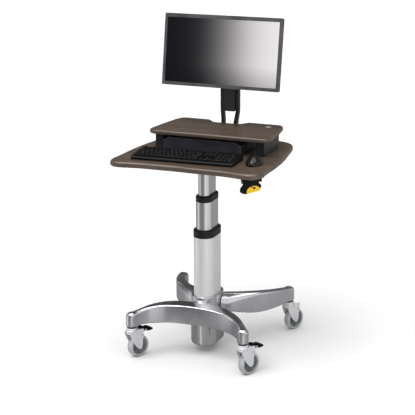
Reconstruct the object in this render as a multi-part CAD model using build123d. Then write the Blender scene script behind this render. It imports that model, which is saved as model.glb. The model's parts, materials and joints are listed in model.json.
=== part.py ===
from build123d import *
import math
import os

os.makedirs("parts", exist_ok=True)

# Height-adjustable computer workstation cart. Millimetres, +Z up, floor at Z = 0,
# the user stands on the -Y side. Everything is laid out about the lift column's
# axis and then shifted along Y so that the origin is the middle of the footprint.

# ---------------------------------------------------------------- driving sizes
COLUMN_Y = -65.74         # column axis in the finished frame

# lift column: oval tubes, straight half-length H and end radius A
OVAL_H = 33.0
OUTER_A, OUTER_WALL, OUTER_Z0, OUTER_Z1 = 47.0, 3.0, 45.0, 535.0
MID_A, MID_WALL, MID_Z0, MID_Z1 = 36.0, 2.5, 262.0, 695.0
INNER_A, INNER_WALL, INNER_Z0, INNER_Z1 = 25.5, 2.5, 430.0, 868.0
SLIDE_GAP = 0.08
COLLAR_LOW_TOP = 570.0
COLLAR_UP_TOP = 722.0

# base casting
HUB_A, HUB_Z0, HUB_Z1 = 59.0, 150.0, 268.0
SOCKET_R, SOCKET_Z0, SOCKET_Z1 = 22.0, 150.0, 212.0
FRONT_CASTER = (263.0, -239.0)
REAR_CASTER = (267.0, 339.0)
HOUSING_A, HOUSING_Z0 = 61.0, 37.0

# casters
WHEEL_R, WHEEL_W, TRAIL = 50.0, 32.0, 34.0
STEM_R = 6.0
TRAIL_ANGLE = -26.05      # rotation of the trailing direction from +Y

# work surface and riser shelf
TOP_Z, TOP_T = 901.0, 25.0
SHELF_Z, SHELF_T = 987.0, 19.0
BRACKET_X, BRACKET_Y0, BRACKET_Y1 = 255.5, 22.8, 209.3

# monitor
MON_W, MON_H = 549.8, 315.0
MON_CENTRE = (0.0, 162.0, 1318.0)
MON_TILT = 9.2
PIVOT_BACK = 58.0         # tilt pivot behind the front face

parts = {}


def oval(a, z0, z1, h=OVAL_H):
    sk = Plane.XY.offset(z0) * SlotCenterToCenter(2 * h, 2 * a, rotation=90)
    return extrude(sk, z1 - z0)


def oval_ring(a_out, a_in, z0, z1, h=OVAL_H):
    return oval(a_out, z0, z1, h) - oval(a_in, z0 - 1, z1 + 1, h)


def cyl(r, z0, z1, x=0.0, y=0.0):
    return Pos(x, y, (z0 + z1) / 2) * Cylinder(r, z1 - z0)


def cyl_x(r, x0, x1, y, z):
    return Pos((x0 + x1) / 2, y, z) * Rot(0, 90, 0) * Cylinder(r, x1 - x0)


def cyl_y(r, y0, y1, x, z):
    return Pos(x, (y0 + y1) / 2, z) * Rot(90, 0, 0) * Cylinder(r, y1 - y0)


def box(x0, x1, y0, y1, z0, z1):
    return Pos((x0 + x1) / 2, (y0 + y1) / 2, (z0 + z1) / 2) * Box(x1 - x0, y1 - y0, z1 - z0)


def prism_x(pts_yz, x0, x1):
    """Polygon given as (y, z) pairs, extruded along +X."""
    w = Wire.make_polygon([Vector(x0, y, z) for y, z in pts_yz], close=True)
    return extrude(Face(w), x1 - x0, dir=(1, 0, 0))


def prism_y(pts_xz, y0, y1):
    w = Wire.make_polygon([Vector(x, y0, z) for x, z in pts_xz], close=True)
    return extrude(Face(w), y1 - y0, dir=(0, 1, 0))


def soft(solid, edges, radii):
    """Round the edges with the first radius that works."""
    edges = list(edges)
    for r in radii:
        try:
            out = fillet(edges, r)
            if out.is_valid and out.volume > 0:
                return out
        except Exception:
            pass
    print("no round made", len(edges), radii, solid.bounding_box())
    return solid


def edges_at(solid, z, tol=0.01):
    return [e for e in solid.edges()
            if abs(e.bounding_box().min.Z - z) < tol and abs(e.bounding_box().max.Z - z) < tol]


def one(shape):
    s = shape.solids()
    if len(s) != 1:
        print("solids:", len(s), [round(k.volume) for k in s])
    return max(s, key=lambda k: k.volume)


def keep(name, shape):
    parts[name] = shape


# ================================================================ base casting
bow_mid = [(0, -124.5), (50, -125.5), (100, -131), (150, -143.5), (200, -170.3), (230, -196.3), (250, -219.4), (263, -239)]
bow_half = [28.5, 28.5, 27.5, 25.0, 21.5, 19.5, 19.0, 18.5]


def offset_path(path, half, side):
    out = []
    for i, (x, y) in enumerate(path):
        x0, y0 = path[max(i - 1, 0)]
        x1, y1 = path[min(i + 1, len(path) - 1)]
        dx, dy = x1 - x0, y1 - y0
        if i == 0:
            dx, dy = 1.0, 0.0
        n = math.hypot(dx, dy)
        out.append((x + side * dy / n * half[i], y - side * dx / n * half[i]))
    return out


def mirrored(pts):
    return [(-x, y) for x, y in reversed(pts[1:])] + pts


front = mirrored(offset_path(bow_mid, bow_half, 1))
back = mirrored(offset_path(bow_mid, bow_half, -1))
bow_plan = make_face([
    Spline(*[(x, y, 0) for x, y in front]),
    Line((*front[-1], 0), (*back[-1], 0)),
    Spline(*[(x, y, 0) for x, y in reversed(back)]),
    Line((*back[0], 0), (*front[0], 0)),
])
bow_up = extrude(Pos(0, 0, 100) * bow_plan, 200)
bow_top = [(0, 245.5), (50, 245), (100, 243), (150, 238), (200, 228.5), (230, 219), (250, 211.5), (290, 196)]
bow_low = [(0, 157.5), (100, 156.5), (200, 152.5), (290, 151)]
bt, bl = mirrored(bow_top), mirrored(bow_low)
bow_side = make_face([
    Spline(*[(x, 0, z) for x, z in bt]),
    Line((bt[-1][0], 0, bt[-1][1]), (bl[-1][0], 0, bl[-1][1])),
    Spline(*[(x, 0, z) for x, z in reversed(bl)]),
    Line((bl[0][0], 0, bl[0][1]), (bt[0][0], 0, bt[0][1])),
])
bow = one(bow_up & extrude(Pos(0, -300, 0) * bow_side, 260, dir=(0, 1, 0)))
long_edges = [e for e in bow.edges() if e.length > 300]
top_e = [e for e in long_edges if e.center().Z > 190]
bow = soft(bow, top_e, (9, 7, 5, 3))
low_e = [e for e in bow.edges() if e.length > 300 and e.center().Z < 190]
bow = soft(bow, low_e, (5, 3, 2))


def leg_path(t):
    p0, p1, p2 = (44.0, 18.0), (206.0, 96.0), REAR_CASTER
    return tuple((1 - t) ** 2 * a + 2 * t * (1 - t) * b + t * t * c for a, b, c in zip(p0, p1, p2))


ts = [i / 10 for i in range(11)]
leg_mid = [leg_path(t) for t in ts]
leg_half = [29 - 10.5 * t for t in ts]


def free_offset(path, half, side):
    out = []
    for i, (x, y) in enumerate(path):
        x0, y0 = path[max(i - 1, 0)]
        x1, y1 = path[min(i + 1, len(path) - 1)]
        dx, dy = x1 - x0, y1 - y0
        n = math.hypot(dx, dy)
        out.append((x + side * dy / n * half[i], y - side * dx / n * half[i]))
    return out


lo_, ro_ = free_offset(leg_mid, leg_half, 1), free_offset(leg_mid, leg_half, -1)
leg_plan = make_face([
    Spline(*[(x, y, 0) for x, y in lo_]),
    Line((*lo_[-1], 0), (*ro_[-1], 0)),
    Spline(*[(x, y, 0) for x, y in reversed(ro_)]),
    Line((*ro_[0], 0), (*lo_[0], 0)),
])
leg_top = [(-40, 263), (20, 261), (52, 258), (93, 252.5), (143, 245), (202, 235), (270, 223), (360, 207)]
leg_low = [(-40, 188), (20, 178), (52, 168), (93, 157), (143, 151), (202, 149.5), (270, 151), (360, 152)]
leg_side = make_face([
    Spline(*[(0, y, z) for y, z in leg_top]),
    Line((0, *leg_top[-1]), (0, *leg_low[-1])),
    Spline(*[(0, y, z) for y, z in reversed(leg_low)]),
    Line((0, *leg_low[0]), (0, *leg_top[0])),
])
leg = one(extrude(Pos(0, 0, 100) * leg_plan, 200) & extrude(Pos(10, 0, 0) * leg_side, 320, dir=(1, 0, 0)))
leg = soft(leg, [e for e in leg.edges() if e.length > 200 and e.center().Z > 200], (14, 11, 8, 5))
leg = soft(leg, [e for e in leg.edges() if e.length > 200 and e.center().Z < 190], (5, 3, 2))
leg_left = mirror(leg, Plane.YZ)

hub = oval(HUB_A, HUB_Z0, HUB_Z1)
# web that carries the bow on the hub
web = box(-46, 46, -112, -60, 165, 236)
casting = hub + web + bow + leg + leg_left
socket_xy = [(-FRONT_CASTER[0], FRONT_CASTER[1]), FRONT_CASTER,
             (-REAR_CASTER[0], REAR_CASTER[1]), REAR_CASTER]
for x, y in socket_xy:
    s = cyl(SOCKET_R, SOCKET_Z0, SOCKET_Z1, x, y)
    s = soft(s, edges_at(s, SOCKET_Z1), (17, 14, 10))
    casting = casting + s
casting = casting - oval(OUTER_A + 0.25, HUB_Z0 - 5, HUB_Z1 + 5)
for x, y in socket_xy:
    casting = casting - cyl(STEM_R + 0.1, SOCKET_Z0 - 1, SOCKET_Z0 + 46, x, y)
casting = one(casting)
rim = [e for e in edges_at(casting, HUB_Z1)]
casting = soft(casting, rim, (3, 2, 1))
keep("base_casting", one(casting))

# column housing hanging below the hub
can = oval(HOUSING_A, HOUSING_Z0, HUB_Z0)
can = soft(can, edges_at(can, HOUSING_Z0), (14, 10, 6))
inner_can = oval(HOUSING_A - 2, HOUSING_Z0 + 2, HUB_Z0 + 5)
inner_can = soft(inner_can, edges_at(inner_can, HOUSING_Z0 + 2), (12, 9, 5))
keep("column_housing", one(can - inner_can))

# ================================================================ lift column
keep("column_outer_tube", oval_ring(OUTER_A, OUTER_A - OUTER_WALL, OUTER_Z0, OUTER_Z1))
low = oval(OUTER_A + 1, OUTER_Z1, COLLAR_LOW_TOP)
low = soft(low, edges_at(low, COLLAR_LOW_TOP), (7, 5, 3))
low = soft(low, edges_at(low, OUTER_Z1), (2, 1))
low = low + oval(OUTER_A - OUTER_WALL - 0.05, OUTER_Z1 - 20, OUTER_Z1 + 4)
keep("collar_lower", one(low - oval(MID_A + SLIDE_GAP, OUTER_Z1 - 25, COLLAR_LOW_TOP + 1)))

keep("column_mid_tube", oval_ring(MID_A, MID_A - MID_WALL, MID_Z0, MID_Z1))
up = oval(MID_A + 1, MID_Z1, COLLAR_UP_TOP)
up = soft(up, edges_at(up, COLLAR_UP_TOP), (6, 4, 3))
up = soft(up, edges_at(up, MID_Z1), (2, 1))
up = up + oval(MID_A - MID_WALL - 0.05, MID_Z1 - 16, MID_Z1 + 4)
keep("collar_upper", one(up - oval(INNER_A + SLIDE_GAP, MID_Z1 - 20, COLLAR_UP_TOP + 1)))
keep("mid_glide", oval_ring(OUTER_A - OUTER_WALL - SLIDE_GAP, MID_A + 0.02, MID_Z0, MID_Z0 + 28))

keep("column_inner_tube", oval_ring(INNER_A, INNER_A - INNER_WALL, INNER_Z0, INNER_Z1))
keep("inner_glide", oval_ring(MID_A - MID_WALL - SLIDE_GAP, INNER_A + 0.02, INNER_Z0, INNER_Z0 + 26))

# gas spring: closed cylinder standing on the housing floor, rod up to the top plate
spring = cyl(14, HOUSING_Z0 + 2, 600) - cyl(11.5, HOUSING_Z0 + 18, 586) - cyl(5.1, 580, 601)
keep("gas_spring_cylinder", one(spring))
rod = cyl(5, 262, INNER_Z1) + cyl(11.4, 262, 278)
keep("gas_spring_rod", one(rod))

# ================================================================ work surface
TZ0 = TOP_Z - TOP_T
top_half = [(0, -269), (120, -270.5), (200, -274), (255, -283.5), (295, -287.5), (324, -278.5), (340.5, -252),
            (345.5, -219), (343.5, -186), (342, -150), (342.5, -100), (341, -40), (336.5, 30), (328, 100),
            (316, 177), (306, 240), (296, 282), (274, 319), (237, 342), (185, 350.5), (100, 353), (0, 353)]
right = top_half
left = [(-x, y) for x, y in reversed(top_half[1:-1])]
loop = right + left
top_face = make_face([Spline(*[(x, y, 0) for x, y in loop], periodic=True)])
slab = extrude(Pos(0, 0, TZ0) * top_face, TOP_T)
slab = soft(slab, edges_at(slab, TOP_Z) + edges_at(slab, TZ0), (11, 9, 7, 5))

# riser shelf with a cut-out at the back for the monitor post
SZ0 = SHELF_Z - SHELF_T


def pt(p):
    return (p[0], p[1], 0)


# right-hand side from the middle of the front edge to the cut-out; the left mirrors it
SHELF_IN = 6.0            # the left end stops this much short of a mirror image
SIDE = [(285, 26), (282, 70), (277, 125), (268.5, 195), (259, 250)]
side_r = Spline(*[pt(p) for p in SIDE], tangents=[(-0.02, 1, 0), (-0.2, 1, 0)])
side_l = Spline(*[pt((SHELF_IN - x, y)) for x, y in reversed(SIDE)], tangents=[(-0.2, -1, 0), (-0.02, -1, 0)])
sh_edges = [
    Line((-241, -13, 0), (247, -13, 0)),
    Bezier((247, -13, 0), (270, -13, 0), (285.5, 2, 0), (285, 26, 0)),
    side_r,
    Bezier((259, 250, 0), (254, 275, 0), (241, 288, 0), (220, 288, 0)),
    Line((220, 288, 0), (94, 288, 0)),
    Bezier((94, 288, 0), (66, 288, 0), (74, 243, 0), (40, 243, 0)),
    Line((40, 243, 0), (-56, 243, 0)),
    Bezier((-56, 243, 0), (-86, 243, 0), (-84, 288, 0), (-118, 288, 0)),
    Line((-118, 288, 0), (-214, 288, 0)),
    Bezier((-214, 288, 0), (-235, 288, 0), (-248, 275, 0), (-253, 250, 0)),
    side_l,
    Bezier((-279, 26, 0), (-279.5, 2, 0), (-264, -13, 0), (-241, -13, 0)),
]
shelf_face = make_face(sh_edges)
shelf = extrude(Pos(0, 0, SZ0) * shelf_face, SHELF_T)
shelf = soft(shelf, edges_at(shelf, SHELF_Z) + edges_at(shelf, SZ0), (8, 6.5, 5, 4))
GROMMET = (198.0, 227.0)
shelf = shelf - cyl(10.1, SZ0 - 1, SHELF_Z + 1, *GROMMET) - cyl(13.1, SHELF_Z - 2, SHELF_Z + 1, *GROMMET)

GTOP = SHELF_Z - 0.05
grommet = cyl(10, SZ0 + 4, SHELF_Z - 1, *GROMMET) + cyl(13, SHELF_Z - 2, GTOP, *GROMMET)
grommet = soft(grommet, edges_at(grommet, GTOP), (0.8, 0.5)) - cyl(6, SZ0, SHELF_Z - 1.0, *GROMMET)
keep("shelf_grommet", one(grommet))

# sheet-metal side brackets between work surface and shelf


def bracket(side):
    x_out, t = BRACKET_X, 3.0
    b = box(x_out - t, x_out, BRACKET_Y0, BRACKET_Y1, TOP_Z, SZ0)
    b += box(x_out - 38, x_out, BRACKET_Y0, BRACKET_Y0 + t, TOP_Z, SZ0)
    b += box(x_out - 38, x_out, BRACKET_Y1 - t, BRACKET_Y1, TOP_Z, SZ0)
    b += box(x_out - 38, x_out, BRACKET_Y0, BRACKET_Y1, TOP_Z, TOP_Z + t)
    b += box(x_out - 38, x_out, BRACKET_Y0, BRACKET_Y1, SZ0 - t, SZ0)
    for y in (60, 172):
        b -= cyl(2.6, TOP_Z - 1, TOP_Z + 5, x_out - 22, y)
        b -= cyl(2.6, SZ0 - 5, SZ0 + 1, x_out - 22, y)
    v = [e for e in b.edges().filter_by(Axis.Z) if e.length > 60 and abs(e.center().X - x_out) < 0.1]
    b = soft(one(b), v, (1.5, 1.0))
    return b if side > 0 else mirror(b, Plane.YZ)


keep("riser_bracket_right", bracket(1))
keep("riser_bracket_left", bracket(-1))

# top plate of the column
plate = box(-75, 75, -110, 110, INNER_Z1, TZ0)
plate = soft(plate, plate.edges().filter_by(Axis.Z), (14, 8))
plate_xy = [(-60, -92), (60, -92), (-60, 92), (60, 92)]
for x, y in plate_xy:
    plate = plate - cyl(2.6, INNER_Z1 - 1, TZ0 + 1, x, y)
keep("mounting_plate", one(plate))

screws = []
for x, y in plate_xy:
    s = cyl(2.5, INNER_Z1, TZ0 + 16, x, y) + cyl(5, INNER_Z1 - 3, INNER_Z1, x, y)
    screws.append(s - cyl(1.8, INNER_Z1 - 4, INNER_Z1 - 1.2, x, y))
    slab = slab - cyl(2.55, TZ0 - 1, TZ0 + 16.5, x, y)
for sx in (-1, 1):
    for y in (60, 172):
        x = sx * (BRACKET_X - 22)
        s = cyl(2.5, TOP_Z - 14, TOP_Z + 3, x, y) + cyl(5, TOP_Z + 3, TOP_Z + 6, x, y)
        screws.append(s - cyl(1.8, TOP_Z + 4.2, TOP_Z + 7, x, y))
        slab = slab - cyl(2.55, TOP_Z - 14.5, TOP_Z + 1, x, y)
        s = cyl(2.5, SZ0 - 3, SZ0 + 12, x, y) + cyl(5, SZ0 - 6, SZ0 - 3, x, y)
        screws.append(s - cyl(1.8, SZ0 - 7, SZ0 - 4.2, x, y))
        shelf = shelf - cyl(2.55, SZ0 - 1, SZ0 + 12.5, x, y)
keep("wood_screws", Compound(children=[one(s) for s in screws]))
keep("worksurface", one(slab))
keep("riser_shelf", one(shelf))

# small desktop computer standing under the shelf
case = prism_y([(-211, 905), (155, 905), (155, 941), (131, 956), (-187, 956), (-211, 941)], 6, 206)
case = soft(case, [e for e in case.edges() if abs(e.center().Y - 6) < 0.01], (2.5, 1.5))
for x in (-190, 134):
    for y in (30, 180):
        case = case + cyl(8, TOP_Z, 906, x, y)
keep("computer_case", one(case))

# ================================================================ monitor post
PY0, PY1 = 262.0, 284.0
right_rail = [(28, 1055), (28, 1031), (25.5, 1018), (21.5, 1002), (19, 985), (18, 965), (18, 905), (34, 905),
              (34, 965), (35.5, 985), (38.5, 1005), (41.5, 1022), (43.8, 1038), (44.5, 1055)]
left_rail = [(-28, 1055), (-28, 1031), (-26.2, 1012), (-25, 992), (-25, 905), (-41, 905), (-41, 992),
             (-42, 1015), (-44, 1040), (-44.5, 1055)]
right_low = prism_y(right_rail, PY0, PY1)
left_low = prism_y(left_rail, PY0, PY1)
post = right_low + left_low + box(28, 44.5, PY0, PY1, 1055, 1420) + box(-44.5, -28, PY0, PY1, 1055, 1420)
post += box(-44.5, 44.5, PY0, PY1, 1408, 1420)
foot = box(-62, 62, 246, 312, TOP_Z, TOP_Z + 7)
foot = soft(foot, foot.edges().filter_by(Axis.Z), (8, 5))
post = one(post + foot)
post = soft(post, [e for e in post.edges().filter_by(Axis.Z) if e.length > 300], (3, 2))
keep("monitor_post", post)

# carriage that slides between the rails
car = box(-27.4, 27.4, 256, 284, 1037, 1325) - box(-23.9, 23.9, 260, 300, 1041, 1321)
car += box(-27.4, 27.4, 256, 260, 1037, 1325)
for z0 in (1090, 1270):
    car += box(-23.9, 23.9, 276, 288.4, z0, z0 + 30)
    car += box(-38, 38, 284.5, 288.4, z0, z0 + 30)
car = soft(one(car), [e for e in car.edges().filter_by(Axis.Y)
                      if abs(e.center().Z - 1037) < 0.1 and abs(abs(e.center().X) - 27.4) < 0.1], (6, 4))
keep("carriage", one(car))

tilt = math.radians(MON_TILT)
PIVOT = (0.0, MON_CENTRE[1] + PIVOT_BACK * math.cos(tilt), MON_CENTRE[2] - PIVOT_BACK * math.sin(tilt))
py, pz = PIVOT[1], PIVOT[2]
tb = box(-24, 24, 252, 256, pz - 34, pz + 14)
for s in (-1, 1):
    x0, x1 = sorted((s * 13.0, s * 17.0))
    ear = prism_x([(py, pz + 12), (252.5, pz + 13), (252.5, pz - 32), (py, pz - 12)], x0, x1) + cyl_x(12, x0, x1, py, pz)
    tb += ear
tb -= cyl_x(5.1, -30, 30, py, pz)
keep("tilt_bracket", one(tb))
bolt = cyl_x(4.95, -18, 18, py, pz) + cyl_x(9, 17, 23, py, pz) + cyl_x(9, -23, -17, py, pz)
keep("tilt_bolt", one(bolt))

# ================================================================ monitor (built upright, then tilted)


def place_monitor(s):
    return Pos(*MON_CENTRE) * Rot(-MON_TILT, 0, 0) * s


W2, H2 = MON_W / 2, MON_H / 2
OPEN = (-W2 + 13, W2 - 13, -H2 + 15, H2 - 17)      # visible glass
bez = box(-W2, W2, 0, 14, -H2, H2)
bez = soft(bez, bez.edges().filter_by(Axis.Y), (5, 3))
bez -= box(OPEN[0], OPEN[1], -1, 15, OPEN[2], OPEN[3])
BTN = (W2 - 30.0, -H2 + 6.0)
bez -= Pos(BTN[0], 3, BTN[1]) * Rot(90, 0, 0) * Cylinder(3.6, 12)
keep("monitor_bezel", place_monitor(one(bez)))
keep("monitor_screen", place_monitor(box(OPEN[0] + 0.2, OPEN[1] - 0.2, 1.5, 12, OPEN[2] + 0.2, OPEN[3] - 0.2)))
b1 = box(-W2 + 1, W2 - 1, 14, 25, -H2 + 1, H2 - 1)
b1 = soft(b1, b1.edges().filter_by(Axis.Y), (5, 3))
b2 = loft([Plane.XZ.offset(-25) * Rectangle(MON_W - 14, MON_H - 14),
           Plane.XZ.offset(-40) * Rectangle(400, 220)])
hollow = box(-W2 + 4, W2 - 4, 13, 22.5, -H2 + 4, H2 - 4) + box(-190, 190, 13, 36.5, -104, 104)
cover = one(b1 + b2 - hollow)
vesa = [(-50, -50), (50, -50), (-50, 50), (50, 50)]
for x, z in vesa:
    cover = cover - cyl_y(1.9, 33, 41, x, z)
keep("monitor_back_cover", place_monitor(one(cover)))
vp = box(-60, 60, 40, 42.5, -60, 60)
vp = soft(vp, vp.edges().filter_by(Axis.Y), (8, 5))
vp += prism_x([(42, 14), (PIVOT_BACK, 10), (PIVOT_BACK, -10), (42, -14)], -12.8, 12.8)
vp += cyl_x(10, -12.8, 12.8, PIVOT_BACK, 0)
vp -= cyl_x(5.0, -20, 20, PIVOT_BACK, 0)
vs = []
for x, z in vesa:
    vp = vp - cyl_y(2.1, 39, 44, x, z)
    vs.append(place_monitor(one(cyl_y(1.85, 34, 42.5, x, z) + cyl_y(3.8, 42.5, 45, x, z))))
keep("vesa_plate", place_monitor(one(vp)))
keep("vesa_screws", Compound(children=vs))
btn = Pos(BTN[0], 3.1, BTN[1]) * Rot(90, 0, 0) * Cylinder(3.4, 8)
keep("monitor_power_button", place_monitor(one(btn)))

# ================================================================ height release lever
LEV_A = math.radians(50.0)
LW = (math.cos(LEV_A), math.sin(LEV_A))            # along the lever
LN = (math.sin(LEV_A), -math.cos(LEV_A))           # outwards
lever_plane = Plane(origin=(0, 0, 0), x_dir=(LW[0], LW[1], 0), z_dir=(LN[0], LN[1], 0))


def lev(w, n, z):
    return Vector(w * LW[0] + n * LN[0], w * LW[1] + n * LN[1], z)


def lev_box(w0, w1, n0, n1, z0, z1):
    f = Face(Wire.make_polygon([lev(w0, n0, z0), lev(w1, n0, z0), lev(w1, n0, z1), lev(w0, n0, z1)], close=True))
    return extrude(f, n1 - n0, dir=(LN[0], LN[1], 0))


def lev_cyl(r, w0, w1, n, z):
    c = lev((w0 + w1) / 2, n, z)
    return Pos(*c) * Rot(0, 0, 50) * Rot(0, 90, 0) * Cylinder(r, w1 - w0)


LP_N, LP_Z = 384.0, 865.5
paddle_out = [(-29, 864), (-31.5, 854), (-43, 840), (-46, 829), (-40, 818), (-22, 812.5), (0, 814), (24, 819.5),
              (46, 828.5), (52.5, 838), (49, 847), (41.5, 854), (43, 864)]
curve = Spline(*[lev(w, LP_N - 5, z) for w, z in paddle_out])
close_l = Line(lev(43, LP_N - 5, 864), lev(-29, LP_N - 5, 864))
pad = extrude(make_face([curve, close_l]), 12, dir=(LN[0], LN[1], 0))
pad = soft(pad, [e for e in pad.edges() if e.length > 150], (4, 3, 2))
pad = pad + lev_cyl(7, -29, 43, LP_N, LP_Z)
pad = pad - lev_cyl(3.05, -60, 90, LP_N, LP_Z)
keep("lever_paddle", one(pad))
lab_c, lab_r = (13.0, 818.0), 30.0
arc_pts = []
for k in range(0, 13):
    ang = math.radians(-3 + 206 * k / 12)
    arc_pts.append((lab_c[0] + lab_r * math.cos(ang) * 1.05, lab_c[1] + 5 + lab_r * 0.74 * math.sin(ang) * 1.0))
label = extrude(make_face([Spline(*[lev(w, LP_N + 7, z) for w, z in arc_pts]),
                           Line(lev(*[arc_pts[-1][0], LP_N + 7, arc_pts[-1][1]]), lev(arc_pts[0][0], LP_N + 7, arc_pts[0][1]))]),
                1.2, dir=(LN[0], LN[1], 0))
keep("lever_label", one(label))
lb = lev_box(-38, 62, LP_N - 40, LP_N + 8, TZ0 - 3, TZ0)
lb += lev_box(-38, -31, LP_N - 9, LP_N + 8, 858, TZ0)
lb += lev_box(45.5, 52, LP_N - 9, LP_N + 8, 858, TZ0)
lb -= lev_cyl(3.05, -60, 90, LP_N, LP_Z)
keep("lever_bracket", one(lb))
keep("lever_pin", lev_cyl(3.0, -38, 52, LP_N, LP_Z))

# ================================================================ keyboard
KB_W, KB_D, KB_SLOPE = 458.0, 146.0, 4.5
KB_POS = (-31.0, -212.0)                           # middle of the front edge
KB_YAW = 3.0


def place_kb(s):
    return Pos(KB_POS[0], KB_POS[1], TOP_Z) * Rot(0, 0, KB_YAW) * s


tk = math.tan(math.radians(KB_SLOPE))
kcase = prism_x([(0, 2), (3, 0.5), (KB_D, 0.5), (KB_D, 12 + tk * KB_D), (KB_D - 4, 13.5 + tk * (KB_D - 4)),
                 (7, 13.5 + tk * 7), (0, 9)], -KB_W / 2, KB_W / 2)
kcase = soft(kcase, [e for e in kcase.edges().filter_by(Axis.Z)] , (6, 3, 2))


def on_deck(s):
    """Local key frame: z = 0 on the sloping deck face."""
    return Pos(0, 0, 13.5) * Rot(KB_SLOPE, 0, 0) * s


PITCH = 19.05
rows = 6
x_main, x_nav, x_num = -KB_W / 2 + 11, -KB_W / 2 + 11 + 15 * PITCH + 6, -KB_W / 2 + 11 + 18 * PITCH + 12
y_row = [14 + PITCH * i for i in range(5)] + [14 + PITCH * 5 + 7]
pockets = [(x_main, x_main + 15 * PITCH, y_row[0], y_row[0] + 5 * PITCH),
           (x_main, x_main + 15 * PITCH, y_row[5], y_row[5] + PITCH),
           (x_nav, x_nav + 3 * PITCH, y_row[0], y_row[0] + 5 * PITCH),
           (x_nav, x_nav + 3 * PITCH, y_row[5], y_row[5] + PITCH),
           (x_num, x_num + 4 * PITCH, y_row[0], y_row[0] + 5 * PITCH)]
for x0, x1, y0, y1 in pockets:
    kcase = kcase - on_deck(box(x0 - 0.5, x1 + 0.5, y0 - 0.5, y1 + 0.5, -5, 6))
keep("keyboard_case", place_kb(one(kcase)))

key_rows = [
    (x_main, y_row[0], [1.25, 1.25, 1.25, 6.25, 1.25, 1.25, 1.25, 1.25]),
    (x_main, y_row[1], [2.25] + [1] * 10 + [2.75]),
    (x_main, y_row[2], [1.75] + [1] * 11 + [2.25]),
    (x_main, y_row[3], [1.5] + [1] * 12 + [1.5]),
    (x_main, y_row[4], [1] * 13 + [2]),
    (x_main, y_row[5], [1, -1, 1, 1, 1, 1, -0.5, 1, 1, 1, 1, -0.5, 1, 1, 1, 1]),
    (x_nav, y_row[0], [1, 1, 1]),
    (x_nav, y_row[1], [-1, 1, -1]),
    (x_nav, y_row[3], [1, 1, 1]),
    (x_nav, y_row[4], [1, 1, 1]),
    (x_nav, y_row[5], [1, 1, 1]),
    (x_num, y_row[0], [2, 1, 1]),
    (x_num, y_row[1], [1, 1, 1, 1]),
    (x_num, y_row[2], [1, 1, 1, 1]),
    (x_num, y_row[3], [1, 1, 1, 1]),
    (x_num, y_row[4], [1, 1, 1, 1]),
]
caps = []
for x0, y0, widths in key_rows:
    x = x0
    for u in widths:
        if u > 0:
            w = u * PITCH - 1.6
            cap = extrude(Pos(x + u * PITCH / 2, y0 + PITCH / 2, -1.4) * Rectangle(w, PITCH - 1.6), 8.4, taper=13)
            caps.append(place_kb(on_deck(one(cap))))
        x += abs(u) * PITCH
keep("keycaps", Compound(children=caps))

# ================================================================ mouse
M_POS = (260.0, -106.0)
MA, MB, MH = 36.0, 59.0, 36.0
egg = scale(Sphere(1), by=(MA, MB, MH))
egg = egg & box(-60, 60, -80, 80, 0, 60)
egg = Pos(0, 0, 1.0) * egg
base = egg - box(-60, 60, 4, 80, 17, 60) - box(-5, 5, 2, 80, 9, 60)
base = base + (Pos(0, 0, 0.4) * scale(Cylinder(1, 1, align=(Align.CENTER, Align.CENTER, Align.MIN)), by=(MA - 1.5, MB - 1.5, 1.5)))
# posts that carry the wheel on its trunnions
WHY, WHZ, WHR = 28.0, 23.6, 11.0
for s_ in (-1, 1):
    xa, xb = sorted((s_ * 5.0, s_ * 7.5))
    base = base + box(xa, xb, WHY - 3, WHY + 3, 14, WHZ + 3)
base = base - cyl_x(1.55, -20, 20, WHY, WHZ)
mouse_rot = Rot(0, 0, 8)


def place_mouse(s):
    return Pos(M_POS[0], M_POS[1], TOP_Z + 0.2) * mouse_rot * s


btn_l = (egg & box(-60, -4.2, 4.5, 80, 18.2, 60)) - box(-9, 0, WHY - 4.5, WHY + 4.5, 10, WHZ + 4.6)
btn_r = (egg & box(4.2, 60, 4.5, 80, 18.2, 60)) - box(0, 9, WHY - 4.5, WHY + 4.5, 10, WHZ + 4.6)
wheel = cyl_x(WHR, -3.2, 3.2, WHY, WHZ)
wheel = soft(wheel, wheel.edges().filter_by(GeomType.CIRCLE), (1.5, 1.0))
wheel = wheel + cyl_x(1.5, -7.4, 7.4, WHY, WHZ)
keep("mouse_base", place_mouse(one(base)))
keep("mouse_left_button", place_mouse(one(btn_l)))
keep("mouse_right_button", place_mouse(one(btn_r)))
keep("mouse_wheel", place_mouse(one(wheel)))

# ================================================================ casters
stems, seals = [], []


def place_caster(x, y):
    return lambda s: Pos(x, y, 0) * Rot(0, 0, TRAIL_ANGLE) * s


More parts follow.
